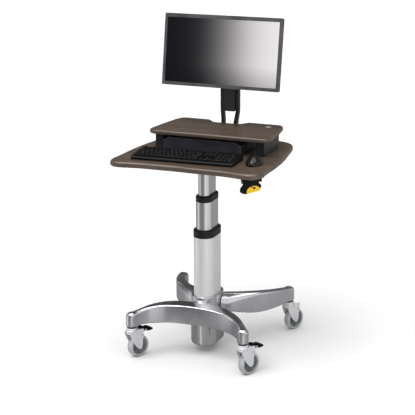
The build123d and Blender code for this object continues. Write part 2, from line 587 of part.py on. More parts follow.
for (x, y), tag in zip([(-FRONT_CASTER[0], FRONT_CASTER[1]), FRONT_CASTER,
                        (-REAR_CASTER[0], REAR_CASTER[1]), REAR_CASTER],
                       ["front_left", "front_right", "rear_left", "rear_right"]):
    put = place_caster(x, y)
    braked = tag.startswith("front")
    stem = cyl(STEM_R, 112, SOCKET_Z0 + 44) + cyl(10, 109, 113)
    stems.append(put(one(stem)))
    seal = cyl(20.5, 142.2, SOCKET_Z0) - cyl(STEM_R + 0.1, 140, 152)
    seals.append(put(one(soft(seal, edges_at(seal, 142.2), (1.5, 1)))))
    # fork: round swivel head, crown and two tapered cheeks
    head = cyl(22, 121, 142)
    head = soft(head, edges_at(head, 142), (5, 3))
    cheek_pts = [(-22, 127), (-18, 131), (47, 131), (55, 126), (52, 104), (47.5, 80), (45, 56), (42, 44), (36, 37),
                 (30, 36.5), (23, 40), (14, 48), (4, 60), (-10, 81), (-20, 103), (-24, 117)]
    fork = head + cyl(23.2, 113.4, 131) + box(-21.5, 21.5, 0, 28, 113.4, 131)
    for s in (-1, 1):
        x0, x1 = sorted((s * 18.3, s * 21.5))
        fork += prism_x(cheek_pts, x0, x1)
    fork -= cyl(STEM_R + 0.05, 100, 150)
    fork -= cyl(10.3, 105, 113.4)
    fork -= cyl_x(4.1, -30, 30, TRAIL, WHEEL_R)
    if braked:
        fork += cyl_x(3, -19, 19, 40, 119)
    keep(f"caster_fork_{tag}", put(one(fork)))
    # axle, wheel centre and tyre
    ax = cyl_x(4, -21.5, 21.5, TRAIL, WHEEL_R) + cyl_x(7, 21.5, 24.5, TRAIL, WHEEL_R) + cyl_x(7, -24.5, -21.5, TRAIL, WHEEL_R)
    keep(f"caster_axle_{tag}", put(one(ax)))
    core = cyl_x(39, -13, 13, TRAIL, WHEEL_R)
    core = core - cyl_x(33, 8, 20, TRAIL, WHEEL_R) - cyl_x(33, -20, -8, TRAIL, WHEEL_R)
    core = core + cyl_x(13, -17.5, 17.5, TRAIL, WHEEL_R) - cyl_x(4.05, -30, 30, TRAIL, WHEEL_R)
    keep(f"caster_wheel_{tag}", put(one(core)))
    tyre = cyl_x(WHEEL_R, -WHEEL_W / 2, WHEEL_W / 2, TRAIL, WHEEL_R)
    tyre = soft(tyre, tyre.edges().filter_by(GeomType.CIRCLE), (7, 5, 3))
    tyre = tyre - cyl_x(39.02, -20, 20, TRAIL, WHEEL_R)
    keep(f"caster_tyre_{tag}", put(one(tyre)))
    if braked:
        ped = cyl_x(6.5, -16.5, 16.5, 40, 119)
        ped += prism_x([(36, 123), (46, 124.5), (66, 122), (80, 118.5), (102, 114.5), (102, 111), (80, 113), (64, 116),
                        (50, 115.5), (44, 113.5)], -13, 13)
        ped += prism_x([(46, 114.5), (46.5, 133.5), (49, 135.5), (62, 133.5), (66, 129.5), (66.5, 113.5)], -16.5, 16.5)
        ped += prism_x([(75, 110.5), (75.5, 125.5), (78, 127.5), (89, 127), (100, 122.5), (109, 115.5), (109.5, 112.5),
                        (96, 108.5)], -16.5, 16.5)
        ped -= cyl_x(3.05, -30, 30, 40, 119)
        keep(f"brake_pedal_{tag}", put(one(ped)))
keep("caster_stems", Compound(children=stems))
keep("caster_seals", Compound(children=seals))

# ================================================================ write the files
ys = []
for name, shape in parts.items():
    moved = Pos(0, COLUMN_Y, 0) * shape
    bb = moved.bounding_box()
    ys += [bb.min.Y, bb.max.Y]
    export_step(moved, f"parts/{name}.step")
print(len(parts), "nodes, Y from", round(min(ys), 3), "to", round(max(ys), 3))
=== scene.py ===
import json
import math
from math import radians, sin, cos, pi, sqrt, hypot

import bmesh
import bpy
import numpy as np
from mathutils import Matrix, Vector


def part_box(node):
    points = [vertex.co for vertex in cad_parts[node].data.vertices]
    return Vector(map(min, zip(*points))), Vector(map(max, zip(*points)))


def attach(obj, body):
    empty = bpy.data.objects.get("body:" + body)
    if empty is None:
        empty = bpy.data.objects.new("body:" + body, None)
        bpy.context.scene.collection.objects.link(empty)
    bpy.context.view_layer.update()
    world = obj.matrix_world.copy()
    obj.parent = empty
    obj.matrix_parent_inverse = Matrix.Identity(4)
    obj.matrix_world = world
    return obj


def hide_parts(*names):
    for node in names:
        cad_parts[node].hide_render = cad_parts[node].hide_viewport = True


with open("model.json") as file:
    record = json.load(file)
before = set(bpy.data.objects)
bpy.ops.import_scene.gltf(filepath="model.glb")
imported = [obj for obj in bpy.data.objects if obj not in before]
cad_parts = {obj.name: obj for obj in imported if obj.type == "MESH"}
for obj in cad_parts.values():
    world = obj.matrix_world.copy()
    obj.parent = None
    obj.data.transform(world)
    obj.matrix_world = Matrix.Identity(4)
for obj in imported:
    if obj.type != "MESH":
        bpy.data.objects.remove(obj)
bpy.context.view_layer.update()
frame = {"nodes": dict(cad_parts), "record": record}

NODES = frame["nodes"]

# column axis, in metres, from the frame itself
_lo, _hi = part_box("column_outer_tube")
AX, AY = (_lo.x + _hi.x) / 2, (_lo.y + _hi.y) / 2


def zspan(node):
    lo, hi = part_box(node)
    return lo.z * 1000, hi.z * 1000


# ======================================================================= numpy mesh tools
def surface_nets(f, lo, hi, step, project=4):
    """Closed mesh of f(points) = 0 on a grid (mm), its points pushed onto the surface itself."""
    n = [int(math.ceil((b - a) / step)) + 1 for a, b in zip(lo, hi)]
    ax = [lo[i] + step * np.arange(n[i]) for i in range(3)]
    g = np.stack(np.meshgrid(*ax, indexing="ij"), -1)
    v = np.empty(n, np.float64)
    for i in range(n[0]):
        v[i] = f(g[i].reshape(-1, 3)).reshape(n[1], n[2])
    s = v < 0
    c = [s[dx:n[0] - 1 + dx, dy:n[1] - 1 + dy, dz:n[2] - 1 + dz] for dx in (0, 1) for dy in (0, 1) for dz in (0, 1)]
    cnt = sum(k.astype(np.int8) for k in c)
    cell = (cnt > 0) & (cnt < 8)
    idx = -np.ones(cell.shape, np.int64)
    cells = np.argwhere(cell)
    idx[cell] = np.arange(len(cells))
    acc = np.zeros((len(cells), 3))
    num = np.zeros(len(cells))
    i, j, k = cells.T
    corners = [(dx, dy, dz) for dx in (0, 1) for dy in (0, 1) for dz in (0, 1)]
    for a in corners:
        for b in corners:
            if sum(b) - sum(a) == 1 and all(q >= p for p, q in zip(a, b)):
                va = v[i + a[0], j + a[1], k + a[2]]
                vb = v[i + b[0], j + b[1], k + b[2]]
                m = (va < 0) != (vb < 0)
                t = np.where(m, va / np.where(m, va - vb, 1), 0)
                p = np.array(a, float) + t[:, None] * (np.array(b, float) - np.array(a, float))
                acc[m] += p[m]
                num[m] += 1
    pts = (cells + acc / num[:, None]) * step + np.array(lo)
    faces = []
    for axis in range(3):
        u, w = [q for q in range(3) if q != axis]
        sl0 = [slice(0, n[q]) for q in range(3)]
        sl1 = [slice(0, n[q]) for q in range(3)]
        sl0[axis], sl1[axis] = slice(0, n[axis] - 1), slice(1, n[axis])
        ch = s[tuple(sl0)] != s[tuple(sl1)]
        e = np.argwhere(ch)
        e = e[(e[:, u] > 0) & (e[:, w] > 0) & (e[:, u] < n[u] - 1) & (e[:, w] < n[w] - 1)]
        inside = s[e[:, 0], e[:, 1], e[:, 2]]
        du, dw = np.zeros(3, int), np.zeros(3, int)
        du[u], dw[w] = 1, 1
        q = [idx[tuple((e - o).T)] for o in (du * 0, du, du + dw, dw)]
        q = np.stack(q, 1)
        flip = inside if axis != 1 else ~inside
        q[flip] = q[flip][:, ::-1]
        faces.append(q)
    faces = np.concatenate(faces)
    eps = step * 0.25
    nrm = None
    for it in range(project + 1):
        d = f(pts)
        gr = np.stack([(f(pts + np.eye(3)[q] * eps) - f(pts - np.eye(3)[q] * eps)) / (2 * eps) for q in range(3)], 1)
        l2 = np.maximum((gr ** 2).sum(1), 0.05)
        nrm = gr / np.sqrt(l2)[:, None]
        if it == project:
            break
        mv = -(d / l2)[:, None] * gr
        ln = np.linalg.norm(mv, axis=1)
        mv *= np.minimum(1, 0.6 * step / np.maximum(ln, 1e-9))[:, None]
        pts = pts + mv
    # orientation
    a, b, c_ = pts[faces[:, 0]], pts[faces[:, 1]], pts[faces[:, 2]]
    vol = (a * np.cross(b, c_)).sum() + (a * np.cross(c_, pts[faces[:, 3]])).sum()
    if vol < 0:
        faces = faces[:, ::-1]
    return pts, faces, nrm


def rmax(a, b, r):
    """Intersection with its edge rounded to radius r."""
    u, w = np.maximum(a + r, 0), np.maximum(b + r, 0)
    return np.minimum(np.maximum(a, b), -r) + np.sqrt(u * u + w * w)


def smin(a, b, k):
    h = np.maximum(k - np.abs(a - b), 0) / k
    return np.minimum(a, b) - h * h * k * 0.25


def to_mesh(name, pts, faces, normals=None):
    me = bpy.data.meshes.new(name)
    me.from_pydata([tuple(p) for p in pts], [], [tuple(int(i) for i in q) for q in faces])
    me.validate()
    me.update()
    for p in me.polygons:
        p.use_smooth = True
    if normals is not None and len(normals) == len(me.vertices):
        me.normals_split_custom_set_from_vertices([tuple(x) for x in normals])
    return me


def place(name, me, body, mat, replaces=(), loc=None, rotz=0.0, matrix=None):
    ob = bpy.data.objects.new(name, me)
    bpy.context.scene.collection.objects.link(ob)
    if matrix is not None:
        ob.matrix_world = matrix
    elif loc is not None:
        ob.matrix_world = Matrix.Translation(loc) @ Matrix.Rotation(rotz, 4, "Z")
    ob.data.materials.clear()
    for m in (mat if isinstance(mat, (list, tuple)) else [mat]):
        ob.data.materials.append(m)
    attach(ob, body)
    if replaces:
        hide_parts(*replaces)
    return ob


def sharp_by_angle(me, deg=32):
    """Smooth shading with hard edges where faces meet at more than deg."""
    for p in me.polygons:
        p.use_smooth = True
    bm = bmesh.new()
    bm.from_mesh(me)
    lim = radians(deg)
    for e in bm.edges:
        e.smooth = len(e.link_faces) == 2 and e.calc_face_angle(0) < lim
    bm.to_mesh(me)
    bm.free()
    me.update()


# ----------------------------------------------------------------------- stadium (oval tube) lofts
H_OVAL = 33.0


def oval_ring_pts(a, z, seg=28, h=H_OVAL):
    """Closed ring of points (column frame, mm): end radius a, straight half length h along Y."""
    out = []
    for i in range(seg + 1):
        t = -pi + pi * i / seg      # front end, from -X round -Y to +X
        out.append((a * cos(t), -h + a * sin(t), z))
    for s in range(1, 8):
        out.append((a, -h + 2 * h * s / 8, z))
    for i in range(seg + 1):
        t = pi * i / seg
        out.append((a * cos(t), h + a * sin(t), z))
    for s in range(1, 8):
        out.append((-a, h - 2 * h * s / 8, z))
    return out


def oval_loft(name, profile, closed=True, seg=28, cap0=False, cap1=False):
    """Loft through (end radius, z) pairs; a closed profile makes a ring-shaped solid."""
    rings = [oval_ring_pts(a, z, seg) for a, z in profile]
    n = len(rings[0])
    pts = [(x / 1000 + AX, y / 1000 + AY, z / 1000) for r in rings for x, y, z in r]
    faces = []
    m = len(rings)
    for i in range(m if closed else m - 1):
        j = (i + 1) % m
        for k in range(n):
            l = (k + 1) % n
            faces.append((i * n + k, i * n + l, j * n + l, j * n + k))
    if cap0:
        faces.append(tuple(range(n))[::-1])
    if cap1:
        faces.append(tuple((m - 1) * n + k for k in range(n)))
    me = bpy.data.meshes.new(name)
    me.from_pydata(pts, [], faces)
    me.validate()
    bm = bmesh.new()
    bm.from_mesh(me)
    bmesh.ops.recalc_face_normals(bm, faces=bm.faces)
    bm.to_mesh(me)
    bm.free()
    sharp_by_angle(me, 40)
    return me


def arc(cx, cz, r, a0, a1, n=6):
    return [(cx + r * cos(radians(a0 + (a1 - a0) * i / n)), cz + r * sin(radians(a0 + (a1 - a0) * i / n))) for i in range(n + 1)]


# ======================================================================= materials
class G:
    """Small helper round a material's node tree."""

    def __init__(self, name, slot_rgb=None):
        self.m = bpy.data.materials.new(name)
        self.m.use_nodes = True
        self.nt = self.m.node_tree
        self.nt.nodes.clear()
        self.out = self.nt.nodes.new("ShaderNodeOutputMaterial")
        self.b = self.nt.nodes.new("ShaderNodeBsdfPrincipled")
        self.nt.links.new(self.b.outputs[0], self.out.inputs[0])
        self._co = None

    def n(self, kind, **kw):
        x = self.nt.nodes.new(kind)
        for k, v in kw.items():
            setattr(x, k, v)
        return x

    def link(self, a, b):
        self.nt.links.new(a, b)

    def co(self, scale=(1, 1, 1), rot=(0, 0, 0)):
        if self._co is None:
            self._co = self.n("ShaderNodeTexCoord")
        mp = self.n("ShaderNodeMapping")
        mp.inputs["Scale"].default_value = scale
        mp.inputs["Rotation"].default_value = rot
        self.link(self._co.outputs["Object"], mp.inputs["Vector"])
        return mp.outputs[0]

    def noise(self, vec, scale=5.0, detail=4.0, rough=0.55, dist=0.0):
        x = self.n("ShaderNodeTexNoise")
        x.inputs["Scale"].default_value = scale
        x.inputs["Detail"].default_value = detail
        x.inputs["Roughness"].default_value = rough
        x.inputs["Distortion"].default_value = dist
        self.link(vec, x.inputs["Vector"])
        return x.outputs["Fac"]

    def ramp(self, fac, stops, mode="LINEAR"):
        x = self.n("ShaderNodeValToRGB")
        x.color_ramp.interpolation = mode
        el = x.color_ramp.elements
        while len(el) < len(stops):
            el.new(0.5)
        for e, (p, c) in zip(el, stops):
            e.position = p
            e.color = (*c, 1) if not isinstance(c, (int, float)) else (c, c, c, 1)
        self.link(fac, x.inputs[0])
        return x.outputs[0]

    def maprange(self, v, a, b, c, d):
        x = self.n("ShaderNodeMapRange")
        self.link(v, x.inputs[0])
        for i, q in zip((1, 2, 3, 4), (a, b, c, d)):
            x.inputs[i].default_value = q
        return x.outputs[0]

    def math(self, op, a, b=None, clamp=False):
        x = self.n("ShaderNodeMath", operation=op)
        x.use_clamp = clamp
        for i, q in enumerate((a, b)):
            if q is None:
                continue
            if isinstance(q, (int, float)):
                x.inputs[i].default_value = q
            else:
                self.link(q, x.inputs[i])
        return x.outputs[0]

    def mix(self, fac, a, b, mode="MIX"):
        x = self.n("ShaderNodeMix", data_type="RGBA", blend_type=mode)
        for sock, q in ((x.inputs[0], fac), (x.inputs[6], a), (x.inputs[7], b)):
            if isinstance(q, (int, float)):
                sock.default_value = q
            elif isinstance(q, (tuple, list)):
                sock.default_value = (*q, 1)
            else:
                self.link(q, sock)
        return x.outputs[2]

    def bump(self, h, strength=0.2, dist=0.001, chain=None):
        x = self.n("ShaderNodeBump")
        x.inputs["Strength"].default_value = strength
        x.inputs["Distance"].default_value = dist
        self.link(h, x.inputs["Height"])
        if chain is not None:
            self.link(chain, x.inputs["Normal"])
        return x.outputs[0]

    def edge(self, radius=0.0015, gain=6.0):
        """Mask that is 1 along outer edges, from the rounded and the true normal."""
        bv = self.n("ShaderNodeBevel", samples=4)
        bv.inputs["Radius"].default_value = radius
        geo = self.n("ShaderNodeNewGeometry")
        dt = self.n("ShaderNodeVectorMath", operation="DOT_PRODUCT")
        self.link(bv.outputs[0], dt.inputs[0])
        self.link(geo.outputs["Normal"], dt.inputs[1])
        inv = self.math("SUBTRACT", 1.0, dt.outputs["Value"])
        return self.math("MULTIPLY", inv, gain, clamp=True)

    def set(self, **kw):
        names = dict(color="Base Color", metal="Metallic", rough="Roughness", normal="Normal", spec="Specular IOR Level",
                     coat="Coat Weight", coat_rough="Coat Roughness", aniso="Anisotropic", arot="Anisotropic Rotation",
                     tangent="Tangent", emis="Emission Color", estr="Emission Strength", sheen="Sheen Weight",
                     sheen_rough="Sheen Roughness", ior="IOR", sub="Subsurface Weight", tint="Specular Tint")
        for k, v in kw.items():
            s = self.b.inputs[names[k]]
            if isinstance(v, (int, float)):
                s.default_value = v
            elif isinstance(v, (tuple, list)):
                s.default_value = (*v, 1) if len(s.default_value) == 4 else v
            else:
                self.link(v, s)
        return self.m


def srgb(r, g, b):
    return tuple(((c / 255) / 12.92 if c / 255 <= 0.04045 else ((c / 255 + 0.055) / 1.055) ** 2.4) for c in (r, g, b))


def tangent_z(g):
    t = g.n("ShaderNodeTangent", direction_type="RADIAL", axis="Z")
    return t.outputs[0]


def make_materials():
    M = {}
    # cast aluminium, hand polished: faint orange peel, cloudy polish marks
    g = G("mat_cast_aluminium")
    cloud = g.noise(g.co(), 9, 5, 0.6)
    fine = g.noise(g.co((1, 1, 1)), 420, 3, 0.6)
    drag = g.noise(g.co((30, 30, 260)), 3.2, 5, 0.6, 0.4)
    col = g.ramp(cloud, [(0.3, srgb(206, 206, 211)), (0.7, srgb(222, 222, 226))])
    col = g.mix(0.15, col, g.ramp(drag, [(0.35, srgb(186, 186, 192)), (0.65, srgb(228, 228, 232))]))
    rgh = g.maprange(cloud, 0.3, 0.7, 0.20, 0.27)
    rgh = g.math("ADD", rgh, g.maprange(fine, 0.35, 0.65, -0.02, 0.03))
    bm = g.bump(fine, 0.06, 0.0003)
    bm = g.bump(cloud, 0.03, 0.003, bm)
    M["polished_aluminium"] = g.set(color=col, metal=1.0, rough=rgh, normal=bm)

    # satin anodised tube: fine upright drawing lines
    g = G("mat_satin_tube")
    lines = g.noise(g.co((900, 900, 5)), 1.0, 4, 0.7)
    cloud = g.noise(g.co((6, 6, 2)), 3, 3, 0.5)
    col = g.ramp(lines, [(0.3, srgb(230, 230, 229)), (0.7, srgb(249, 249, 248))])
    col = g.mix(0.3, col, g.ramp(cloud, [(0.3, srgb(234, 234, 232)), (0.7, srgb(249, 249, 249))]))
    rgh = g.maprange(lines, 0.3, 0.7, 0.46, 0.56)
    M["satin_aluminium"] = g.set(color=col, metal=0.72, rough=rgh, aniso=0.4, tangent=tangent_z(g), normal=g.bump(lines, 0.06, 0.0003))

    # brushed stainless
    g = G("mat_brushed_steel")
    lines = g.noise(g.co((1500, 1500, 7)), 1.0, 5, 0.7)
    wide = g.noise(g.co((130, 130, 1.2)), 1.0, 3, 0.6)
    col = g.ramp(lines, [(0.3, srgb(196, 195, 194)), (0.7, srgb(232, 231, 229))])
    col = g.mix(0.35, col, g.ramp(wide, [(0.35, srgb(190, 188, 186)), (0.65, srgb(233, 232, 230))]))
    rgh = g.maprange(lines, 0.3, 0.7, 0.13, 0.24)
    M["brushed_steel"] = g.set(color=col, metal=1.0, rough=rgh, aniso=0.35, tangent=tangent_z(g), normal=g.bump(lines, 0.10, 0.0003))

    # turned, ground chrome
    g = G("mat_chrome")
    fine = g.noise(g.co((200, 200, 2500)), 1.0, 2, 0.5)
    M["chrome"] = g.set(color=g.ramp(fine, [(0.3, srgb(215, 217, 220)), (0.7, srgb(235, 236, 238))]), metal=1.0,
                        rough=g.maprange(fine, 0.3, 0.7, 0.06, 0.14), normal=g.bump(fine, 0.05, 0.0002))

    # bright zinc plate on pressed steel
    g = G("mat_zinc_steel")
    sp = g.noise(g.co(), 160, 4, 0.7)
    cl = g.noise(g.co(), 26, 3, 0.5)
    col = g.ramp(sp, [(0.3, srgb(224, 225, 228)), (0.7, srgb(240, 240, 242))])
    col = g.mix(0.35, col, g.ramp(cl, [(0.35, srgb(220, 222, 226)), (0.65, srgb(243, 243, 245))]))
    col = g.mix(g.math("MULTIPLY", g.edge(0.0012, 5), 0.5), col, srgb(246, 247, 249))
    M["zinc_steel"] = g.set(color=col, metal=0.5, rough=g.maprange(cl, 0.3, 0.7, 0.26, 0.32), normal=g.bump(sp, 0.03, 0.0002))

    # black moulded plastic, fine spark texture, paler on rubbed edges; on the keys and the computer case the paler edge
    # is a painted highlight
    def plastic(name, rgb, rough=(0.38, 0.5), grain=900, bump=0.12, edge_wear_and_glint=0.35, spec=0.5, coat=0.0, edge_wear_and_glint_rgb=None, edge_r=0.0010):
        g = G(name)
        gr = g.noise(g.co(), grain, 3, 0.6)
        cl = g.noise(g.co(), 14, 4, 0.5)
        base = srgb(*rgb)
        hi = tuple(min(1, c * 1.35 + 0.002) for c in base)
        lo = tuple(c * 0.78 for c in base)
        col = g.ramp(cl, [(0.3, lo), (0.7, hi)])
        edge_wear_and_glint_col = srgb(*edge_wear_and_glint_rgb) if edge_wear_and_glint_rgb else tuple(min(1, c * 2.4 + 0.01) for c in base)
        if edge_wear_and_glint:
            mask = g.math("MULTIPLY", g.edge(edge_r, 5), g.maprange(g.noise(g.co(), 60, 3), 0.35, 0.65, 0.2, 1.0))
            col = g.mix(g.math("MULTIPLY", mask, edge_wear_and_glint), col, edge_wear_and_glint_col)
        rg = g.maprange(cl, 0.3, 0.7, *rough)
        return g.set(color=col, rough=rg, spec=spec, normal=g.bump(gr, bump, 0.00025), coat=coat, coat_rough=0.08)

    M["black_plastic"] = plastic("mat_black_plastic", (18, 18, 20), (0.34, 0.46), spec=0.28)
    M["graphite_plastic"] = plastic("mat_graphite_plastic", (46, 45, 49), (0.30, 0.42), edge_wear_and_glint_rgb=(84, 84, 92))
    # keys: the pale key edges are painted glints, a painted highlight between the keys
    M["key_plastic"] = plastic("mat_key_plastic", (9, 9, 11), (0.24, 0.32), 1400, 0.08, 0.9, 0.2, edge_wear_and_glint_rgb=(124, 124, 130), edge_r=0.0014)
    M["keyboard_black"] = plastic("mat_keyboard_case", (8, 8, 9), (0.30, 0.42), 1000, 0.10, 0.2, 0.12)
    M["lever_black"] = plastic("mat_lever_moulding", (6, 6, 7), (0.26, 0.36), 900, 0.08, 0.2, 0.12)
    M["bezel_grey"] = plastic("mat_bezel_plastic", (72, 71, 74), (0.36, 0.46), 1100, 0.10, 0.25)
    M["cover_black"] = plastic("mat_cover_plastic", (30, 30, 32), (0.42, 0.55), 700, 0.25, 0.25)
    M["gloss_black"] = plastic("mat_gloss_black", (9, 9, 11), (0.16, 0.22), 500, 0.02, 0.2, 0.30, 0.12)
    M["rubber_black"] = plastic("mat_rubber_black", (22, 22, 23), (0.6, 0.75), 500, 0.3, 0.15, 0.3)
    # computer case: the pale 4 mm edge band is a painted reflection along the top front bevel
    M["slate_case"] = plastic("mat_slate_case", (44, 45, 54), (0.34, 0.44), 800, 0.16, 0.95, 0.5, edge_wear_and_glint_rgb=(150, 147, 156), edge_r=0.004)

    # textured powder coat: small soft bumps
    g = G("mat_black_paint")
    vor = g.n("ShaderNodeTexVoronoi", feature="SMOOTH_F1")
    vor.inputs["Scale"].default_value = 520
    g.link(g.co(), vor.inputs["Vector"])
    cl = g.noise(g.co(), 12, 4, 0.6)
    col = g.ramp(cl, [(0.3, srgb(26, 26, 27)), (0.7, srgb(40, 40, 41))])
    mask = g.math("MULTIPLY", g.edge(0.0012, 5), g.maprange(g.noise(g.co(), 45, 3), 0.4, 0.65, 0.1, 1.0))
    col = g.mix(g.math("MULTIPLY", mask, 0.35), col, srgb(104, 104, 106))
    M["black_paint"] = g.set(color=col, rough=g.maprange(cl, 0.3, 0.7, 0.33, 0.45), normal=g.bump(vor.outputs["Distance"], 0.22, 0.0004))

    # wood-pattern laminate, grain along X, pores and soft figure
    g = G("mat_laminate")
    warp = g.noise(g.co((0.9, 3.0, 3.0)), 2.2, 3, 0.5)
    co = g.n("ShaderNodeMixRGB", blend_type="ADD")
    co.inputs[0].default_value = 0.045
    g.link(g.co(), co.inputs[1])
    g.link(warp, co.inputs[2])
    mp = g.n("ShaderNodeMapping")
    mp.inputs["Scale"].default_value = (2.2, 42, 42)
    g.link(co.outputs[0], mp.inputs["Vector"])
    fig = g.noise(mp.outputs[0], 1.0, 7, 0.62, 0.5)
    mp2 = g.n("ShaderNodeMapping")
    mp2.inputs["Scale"].default_value = (9, 420, 420)
    g.link(co.outputs[0], mp2.inputs["Vector"])
    pore = g.noise(mp2.outputs[0], 1.0, 4, 0.7)
    broad = g.noise(g.co((1.2, 9, 9)), 1.0, 2, 0.5)
    col = g.ramp(fig, [(0.30, srgb(64, 53, 45)), (0.48, srgb(83, 69, 59)), (0.60, srgb(96, 81, 70)), (0.75, srgb(114, 97, 83))])
    col = g.mix(g.math("MULTIPLY", g.maprange(pore, 0.52, 0.68, 0.0, 1.0), 0.55), col, srgb(51, 42, 36))
    col = g.mix(0.25, col, g.ramp(broad, [(0.35, srgb(68, 57, 49)), (0.65, srgb(102, 87, 75))]))
    rg = g.maprange(fig, 0.3, 0.7, 0.34, 0.26)
    h = g.math("SUBTRACT", fig, g.math("MULTIPLY", pore, 0.6))
    M["laminate"] = g.set(color=col, rough=rg, spec=0.5, normal=g.bump(h, 0.16, 0.0006), coat=0.16, coat_rough=0.18)

    # underside of the boards: plain dark backer with a fine print
    g = G("mat_board_backer")
    pr = g.noise(g.co((6, 160, 160)), 1.0, 5, 0.6)
    M["backer"] = g.set(color=g.ramp(pr, [(0.3, srgb(44, 38, 35)), (0.7, srgb(62, 54, 50))]), rough=0.5, normal=g.bump(pr, 0.1, 0.0004))

    # display: painted reflection, the sheen across the glass made as a glowing emission gradient, dark at the left,
    # bright at the right and dimmer towards the bottom
    g = G("mat_screen_glass_painted_sheen")
    lo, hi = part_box("monitor_screen")
    tc = g.n("ShaderNodeTexCoord")
    sep = g.n("ShaderNodeSeparateXYZ")
    g.link(tc.outputs["Object"], sep.inputs[0])
    u = g.maprange(sep.outputs[0], lo.x, hi.x, 0.0, 1.0)
    w = g.maprange(sep.outputs[2], lo.z, hi.z, 0.0, 1.0)
    st = [(at, srgb(q, q * 0.98, q * 0.985)) for at, q in ((0.02, 5), (0.20, 18), (0.38, 50), (0.58, 140), (0.78, 222), (0.98, 244))]
    e = g.ramp(g.math("ADD", u, g.math("MULTIPLY", g.maprange(w, 0.0, 0.30, -0.055, 0.0), 1.0)), st, "B_SPLINE")
    fine = g.noise(g.co((1, 1, 1)), 1800, 1, 0.5)
    low = g.maprange(w, 0.0, 0.32, 0.64, 1.0)
    g.set(color=(0.006, 0.006, 0.008), rough=g.maprange(fine, 0.3, 0.7, 0.10, 0.14), spec=0.10, emis=g.mix(1.0, e, low, "MULTIPLY"), estr=0.93)
    M["screen_gloss"] = g.m

    # printed label
    g = G("mat_label_yellow")
    pr = g.noise(g.co(), 240, 3, 0.6)
    M["yellow_label"] = g.set(color=g.ramp(pr, [(0.3, srgb(232, 186, 8)), (0.7, srgb(250, 208, 22))]), rough=g.maprange(pr, 0.3, 0.7, 0.3, 0.42), normal=g.bump(pr, 0.05, 0.0003))
    g = G("mat_label_black")
    pr = g.noise(g.co(), 300, 3, 0.6)
    M["label_black"] = g.set(color=g.ramp(pr, [(0.3, srgb(16, 16, 16)), (0.7, srgb(30, 28, 26))]), rough=0.4)
    g = G("mat_label_red")
    pr = g.noise(g.co(), 300, 3, 0.6)
    M["label_red"] = g.set(color=g.ramp(pr, [(0.3, srgb(132, 44, 14)), (0.7, srgb(160, 58, 20))]), rough=0.4)

    # wheel plastics
    g = G("mat_wheel_centre")
    cl = g.noise(g.co(), 40, 4, 0.6)
    gr = g.noise(g.co(), 700, 3, 0.6)
    M["wheel_grey"] = g.set(color=g.ramp(cl, [(0.3, srgb(96, 98, 101)), (0.7, srgb(120, 122, 124))]), rough=g.maprange(cl, 0.3, 0.7, 0.36, 0.5), normal=g.bump(gr, 0.12, 0.0003))
    g = G("mat_tyre")
    cl = g.noise(g.co(), 30, 4, 0.6)
    gr = g.noise(g.co(), 520, 4, 0.7)
    scuff = g.noise(g.co((1, 1, 1)), 90, 5, 0.75)
    col = g.ramp(cl, [(0.3, srgb(158, 160, 162)), (0.7, srgb(184, 186, 187))])
    col = g.mix(g.math("MULTIPLY", g.maprange(scuff, 0.55, 0.7, 0.0, 1.0), 0.4), col, srgb(126, 128, 130))
    M["tyre_grey"] = g.set(color=col, rough=g.maprange(cl, 0.3, 0.7, 0.42, 0.58), spec=0.4, normal=g.bump(gr, 0.16, 0.0004))
    return M


MAT = make_materials()

SLOT_OF = {s["node"]: s["material_slot"] for s in frame["record"].get("subparts", []) if "material_slot" in s} if isinstance(frame["record"].get("subparts"), list) else {}

# ======================================================================= carried-over CAD nodes
# every node first gets its slot's material; replacements below hide the node they stand for
for name, ob in NODES.items():
    s = SLOT_OF.get(name)
    mat = MAT.get(s, MAT["black_plastic"])
    if name == "monitor_back_cover":
        mat = MAT["cover_black"]
    ob.data.materials.clear()
    ob.data.materials.append(mat)


def soften(node, width, seg=2, angle=35):
    """Rounds a CAD node's hard edges with a modifier; its own mesh stays as packed."""
    ob = NODES[node]
    wd = ob.modifiers.new("weld", "WELD")
    wd.merge_threshold = 0.00002
    bv = ob.modifiers.new("edge", "BEVEL")
    bv.width = width / 1000
    bv.segments = seg
    bv.limit_method = "ANGLE"
    bv.angle_limit = radians(angle)
    bv.use_clamp_overlap = True
    bv.harden_normals = False
    bv.miter_outer = "MITER_ARC"


# ======================================================================= base casting
def P(*a):
    return np.array(a, float)


# plan line of the bow: x, y, half width; its top is higher along the back edge than along the front
BOW = [(0, -124.5, 28.5), (50, -125.5, 28.5), (100, -131, 27.8), (150, -143.5, 25.5), (200, -169.5, 21.6), (230, -195.0, 20.2),
       (250, -218.6, 20.8), (263, -239, 22.0)]
BOW_TOP = [(0, 245.5), (50, 245), (100, 243), (150, 238), (200, 229), (230, 220.5), (250, 213.5), (290, 200)]
BOW_FRONT_DROP = [(0, 3.6), (60, 4.4), (100, 5.0), (150, 3.6), (200, 2.2), (240, 1.2), (290, 1.0)]
BOW_BACK_RISE = [(0, 3.6), (100, 3.6), (170, 3.8), (215, 3.4), (250, 1.5), (290, 0.5)]
BOW_LOW = [(0, 157.5), (100, 156.5), (200, 152.5), (290, 151)]
REAR = (267.0, 339.0)
FRONT = (263.0, -239.0)


def catmull(pts, n=12):
    """Smooth polyline through the points (Catmull-Rom)."""
    p = [np.array(q, float) for q in pts]
    p = [2 * p[0] - p[1]] + p + [2 * p[-1] - p[-2]]
    out = []
    for i in range(1, len(p) - 2):
        for k in range(n):
            t = k / n
            a, b, c, d = p[i - 1], p[i], p[i + 1], p[i + 2]
            out.append(0.5 * ((2 * b) + (-a + c) * t + (2 * a - 5 * b + 4 * c - d) * t * t + (-a + 3 * b - 3 * c + d) * t ** 3))
    out.append(p[-2])
    return np.array(out)


